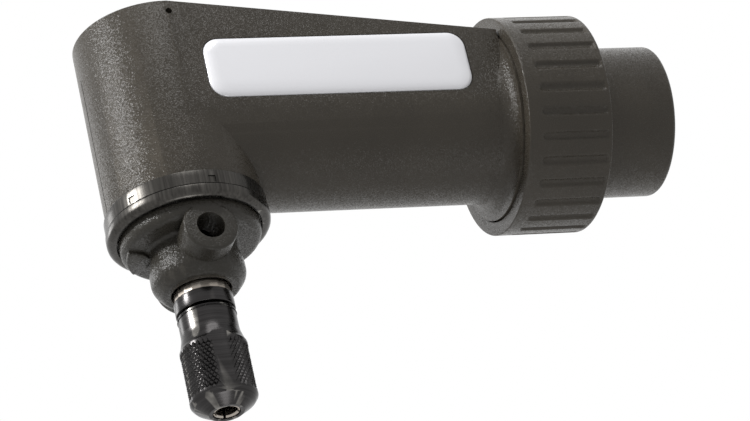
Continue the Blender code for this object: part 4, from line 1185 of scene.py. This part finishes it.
@dataclass
class Chuck(Assembly):
    """The shoulder ring on the spindle's visible end, the slit collet and the knurled nut."""

    flats: float = 9.2
    flat_turn: float = math.radians(-94)
    knurl_top: float = -35.9
    knurl_end: float = -44.05
    knurl_radius: float = 5.0
    knurl_depth: float = 0.28
    knurl_point: float = 0.085
    knurl_count: int = 42
    knurl_rows: int = 16
    slit: float = 0.4

    def build(self) -> None:
        """Builds the three pieces."""
        self.hand_over(self.ring(), "spindle", Slot.BLACK, ["shoulder_ring"])
        self.hand_over(self.collet(), "collet_body", Slot.BRIGHT, ["collet"])
        self.hand_over(self.nut(), "nut", Slot.BLACK, ["collet_nut"], 20.0)

    def ring(self) -> Obj:
        """The shoulder ring with softened edges."""
        profile = filleted([(4.4, -27.7, 0.12), (4.4, -29.85, 0.12), (3.62, -29.85), (3.62, -27.7)])
        return Bench.lathe("shoulder_collar", profile, Axis.SPINDLE, 96)

    def collet(self) -> Obj:
        """The collet, slit four ways from its nose."""
        profile = filleted([
            (2.1, -33.1), (2.1, -37.6), (2.9, -38.4, 0.1), (2.9, -41.6, 0.1), (1.97, -45.95, 0.1),
            (1.75, -45.95), (1.6, -45.7), (1.6, -33.1),
        ])
        obj = Bench.lathe("slit_collet", profile, Axis.SPINDLE, 64)
        for i in range(2):
            half = self.slit / 2
            tool = Bench.block("slit", spot(-6, -half, -47), spot(6, half, -36.6))
            Bench.turn(tool, math.pi / 2 * i + self.flat_turn, Axis.SPINDLE)
            Bench.combine(obj, tool)
        return obj

    def nut(self) -> Obj:
        """The nut: shank with a fine groove, taper, diamond knurl, two flats and a rounded nose."""
        top, end = self.knurl_top, self.knurl_end
        rows = self.knurl_rows
        grip = [(self.knurl_radius, top + (end - top) * i / rows) for i in range(rows + 1)]
        profile = filleted([
            (4.3, -29.88, 0.05), (4.3, -30.32), (4.27, -30.34), (4.27, -30.4), (4.3, -30.42),
            (4.3, -33.6, 5.0), (4.8, -35.4, 2.0), (5.0, -35.8),
        ]) + [(r * MM, h * MM) for r, h in grip] + filleted([
            (4.96, end - 0.15), (4.78, end - 0.42), (4.45, end - 0.8, 0.6), (2.62, end - 2.05, 0.08),
            (2.05, end - 2.05, 0.1), (2.05, -45.7), (3.0, -41.7), (3.69, -38.1), (3.69, -29.88),
        ])
        obj = Bench.lathe("knurled_nut", profile, Axis.SPINDLE, 2 * self.knurl_count)
        self.knurl(obj)
        for side in range(2):
            turn = self.flat_turn + math.pi * side
            normal = Vector((math.cos(turn), math.sin(turn), 0))
            Bench.slice(obj, Axis.SPINDLE.centre() + normal * self.flats / 2 * MM, normal, 1e-8)
        Bench.outward(obj)
        return obj

    def knurl(self, obj: Obj) -> None:
        """Presses in every other crossing of the grip's grid, so that small blunt pyramids stand out."""
        rows = self.knurl_rows
        step = math.tau / (2 * self.knurl_count)
        height = (self.knurl_top - self.knurl_end) * MM / rows
        Bench.open(obj)

        def crossing(vert: bmesh.types.BMVert, odd: int) -> bool:
            radius, turn, along = Axis.SPINDLE.polar(vert.co)
            row = round((self.knurl_top * MM - along) / height)
            return (
                abs(radius - self.knurl_radius * MM) < 0.01 * MM and 0 < row < rows
                and (round(turn / step) + row) % 2 == odd
            )

        Bench.pick(obj, "verts", lambda vert: crossing(vert, 0))
        share = 1 - self.knurl_depth / self.knurl_radius
        bpy.ops.transform.resize(value=(share, share, 1), center_override=Axis.SPINDLE.centre())

        def gripped(face: bmesh.types.BMFace) -> bool:
            radius, _, along = Axis.SPINDLE.polar(face.calc_center_median())
            outer = radius > (self.knurl_radius - 2 * self.knurl_depth) * MM
            return outer and self.knurl_end * MM < along < self.knurl_top * MM

        Bench.pick(obj, "faces", gripped)
        bpy.ops.mesh.quads_convert_to_tris(quad_method="SHORTEST_DIAGONAL", ngon_method="BEAUTY")
        Bench.pick(obj, "verts", lambda vert: crossing(vert, 1))
        bpy.ops.mesh.bevel(offset=self.knurl_point * MM, segments=1, affect="VERTICES")
        Bench.close()


class Studio:
    """The camera at the photograph's viewing angle, a plain pale floor and soft light."""

    soft_light = 0.5
    view = (-21.98, -28.36, -13.30)
    distance = 0.59165
    shift = (0.02717, -0.01735)
    lens = 191.95
    target = (-0.045, 0.0, -0.01)

    def build(self) -> None:
        """Sets up the view, the floor, the lamps and the world."""
        self.camera()
        self.floor()
        self.world()
        self.lamps()
        bpy.context.scene.view_settings.view_transform = "Standard"

    def camera(self) -> None:
        """Places the camera below the object's level, slightly rolled."""
        turn, rise, roll = (math.radians(angle) for angle in self.view)
        back = Vector((math.sin(turn) * math.cos(rise), -math.cos(turn) * math.cos(rise), math.sin(rise)))
        right = Vector((math.cos(turn), math.sin(turn), 0))
        up = back.cross(right)
        place = back * self.distance + right * self.shift[0] + up * self.shift[1] + Axis.SPINDLE.centre()
        side = right * math.cos(roll) + up * math.sin(roll)
        top = up * math.cos(roll) - right * math.sin(roll)
        data = bpy.data.cameras.new("camera")
        data.sensor_width = 36.0
        data.lens = self.lens
        data.clip_start = 0.01
        obj = bpy.data.objects.new("camera", data)
        pose = Matrix((side, top, back)).transposed().to_4x4()
        pose.translation = place
        obj.matrix_world = pose
        bpy.context.scene.collection.objects.link(obj)
        bpy.context.scene.camera = obj

    def floor(self) -> None:
        """A pale floor under the nut, seen from above only, so that the camera looks up through it."""
        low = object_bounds()[0].z
        bpy.ops.mesh.primitive_plane_add(size=4.0, location=(-REACH / 2, 0, low - 0.3 * MM))
        obj = bpy.context.object
        obj.name = "floor"
        material = bpy.data.materials.new("floor")
        material.use_nodes = True
        wires = Wires(material.node_tree)
        shader = material.node_tree.nodes["Principled BSDF"]
        shader.inputs["Base Color"].default_value = (0.86, 0.86, 0.86, 1)
        shader.inputs["Roughness"].default_value = 0.8
        out = material.node_tree.nodes["Material Output"]
        clear = wires.add("ShaderNodeBsdfTransparent")
        mix = wires.add("ShaderNodeMixShader")
        facing = wires.add("ShaderNodeNewGeometry").outputs["Backfacing"]
        camera = wires.add("ShaderNodeLightPath").outputs["Is Camera Ray"]
        solid = wires.math("MULTIPLY", camera, wires.math("SUBTRACT", 1.0, facing))
        wires.feed(mix, i0=solid, i1=clear.outputs[0], i2=shader.outputs[0])
        wires.feed(out, Surface=mix.outputs[0])
        obj.data.materials.append(material)
        obj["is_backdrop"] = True

    def world(self) -> None:
        """White where the camera, a reflection or glass sees it, and softer as a light."""
        world = bpy.data.worlds.new("world")
        bpy.context.scene.world = world
        world.use_nodes = True
        wires = Wires(world.node_tree)
        background = world.node_tree.nodes["Background"]
        path = wires.add("ShaderNodeLightPath")
        seen = wires.math("MAXIMUM", path.outputs["Is Camera Ray"], path.outputs["Is Transmission Ray"])
        seen = wires.math("MAXIMUM", seen, path.outputs["Is Glossy Ray"])
        strength = wires.math("MAXIMUM", seen, self.soft_light)
        wires.feed(background, Color=(1, 1, 1, 1), Strength=strength)

    def lamp(
        self, name: str, turn: float, rise: float, size: float, power: float, distance: float = 0.6
    ) -> None:
        """An area lamp that looks at the object.

        Args:
            name: its name.
            turn: azimuth in degrees, counted from +X.
            rise: elevation in degrees.
            size: width in metres.
            power: in watts.
            distance: from the middle of the object.
        """
        data = bpy.data.lights.new(name, "AREA")
        data.shape = "DISK"
        data.size = size
        data.energy = power
        obj = bpy.data.objects.new(name, data)
        a, e = math.radians(turn), math.radians(rise)
        away = Vector((math.cos(a) * math.cos(e), math.sin(a) * math.cos(e), math.sin(e)))
        obj.location = Vector(self.target) + away * distance
        obj.rotation_euler = away.to_track_quat("Z", "Y").to_euler()
        bpy.context.scene.collection.objects.link(obj)

    def lamps(self) -> None:
        """The main soft lamp at the left, one near the badge, a back light, a top light and a low fill."""
        self.lamp("main_lamp", -175, 27, 0.14, 3.1)
        self.lamp("near_lamp", -100, 54, 0.2, 0.56, 0.34)
        self.lamp("left_lamp", 128, 20, 0.2, 0.4)
        self.lamp("top_lamp", 60, 60, 0.6, 0.3, 0.9)
        self.lamp("low_lamp", -112, -80, 0.14, 0.22, 0.4)


def main() -> None:
    """Builds the sub-assemblies in order, then the studio."""
    logging.basicConfig(level=logging.INFO, format="%(name)s: %(message)s")
    shop = Paintshop()
    assemblies: list[Assembly] = [Housing(shop), ClampEnd(shop), Nose(shop), Chuck(shop)]
    for assembly in assemblies:
        assembly.build()
        LOG.info("%s: %d pieces", type(assembly).__name__, len(assembly.made))
    shop.repaint_frame()
    Studio().build()


if __name__ == "__main__":
    main()
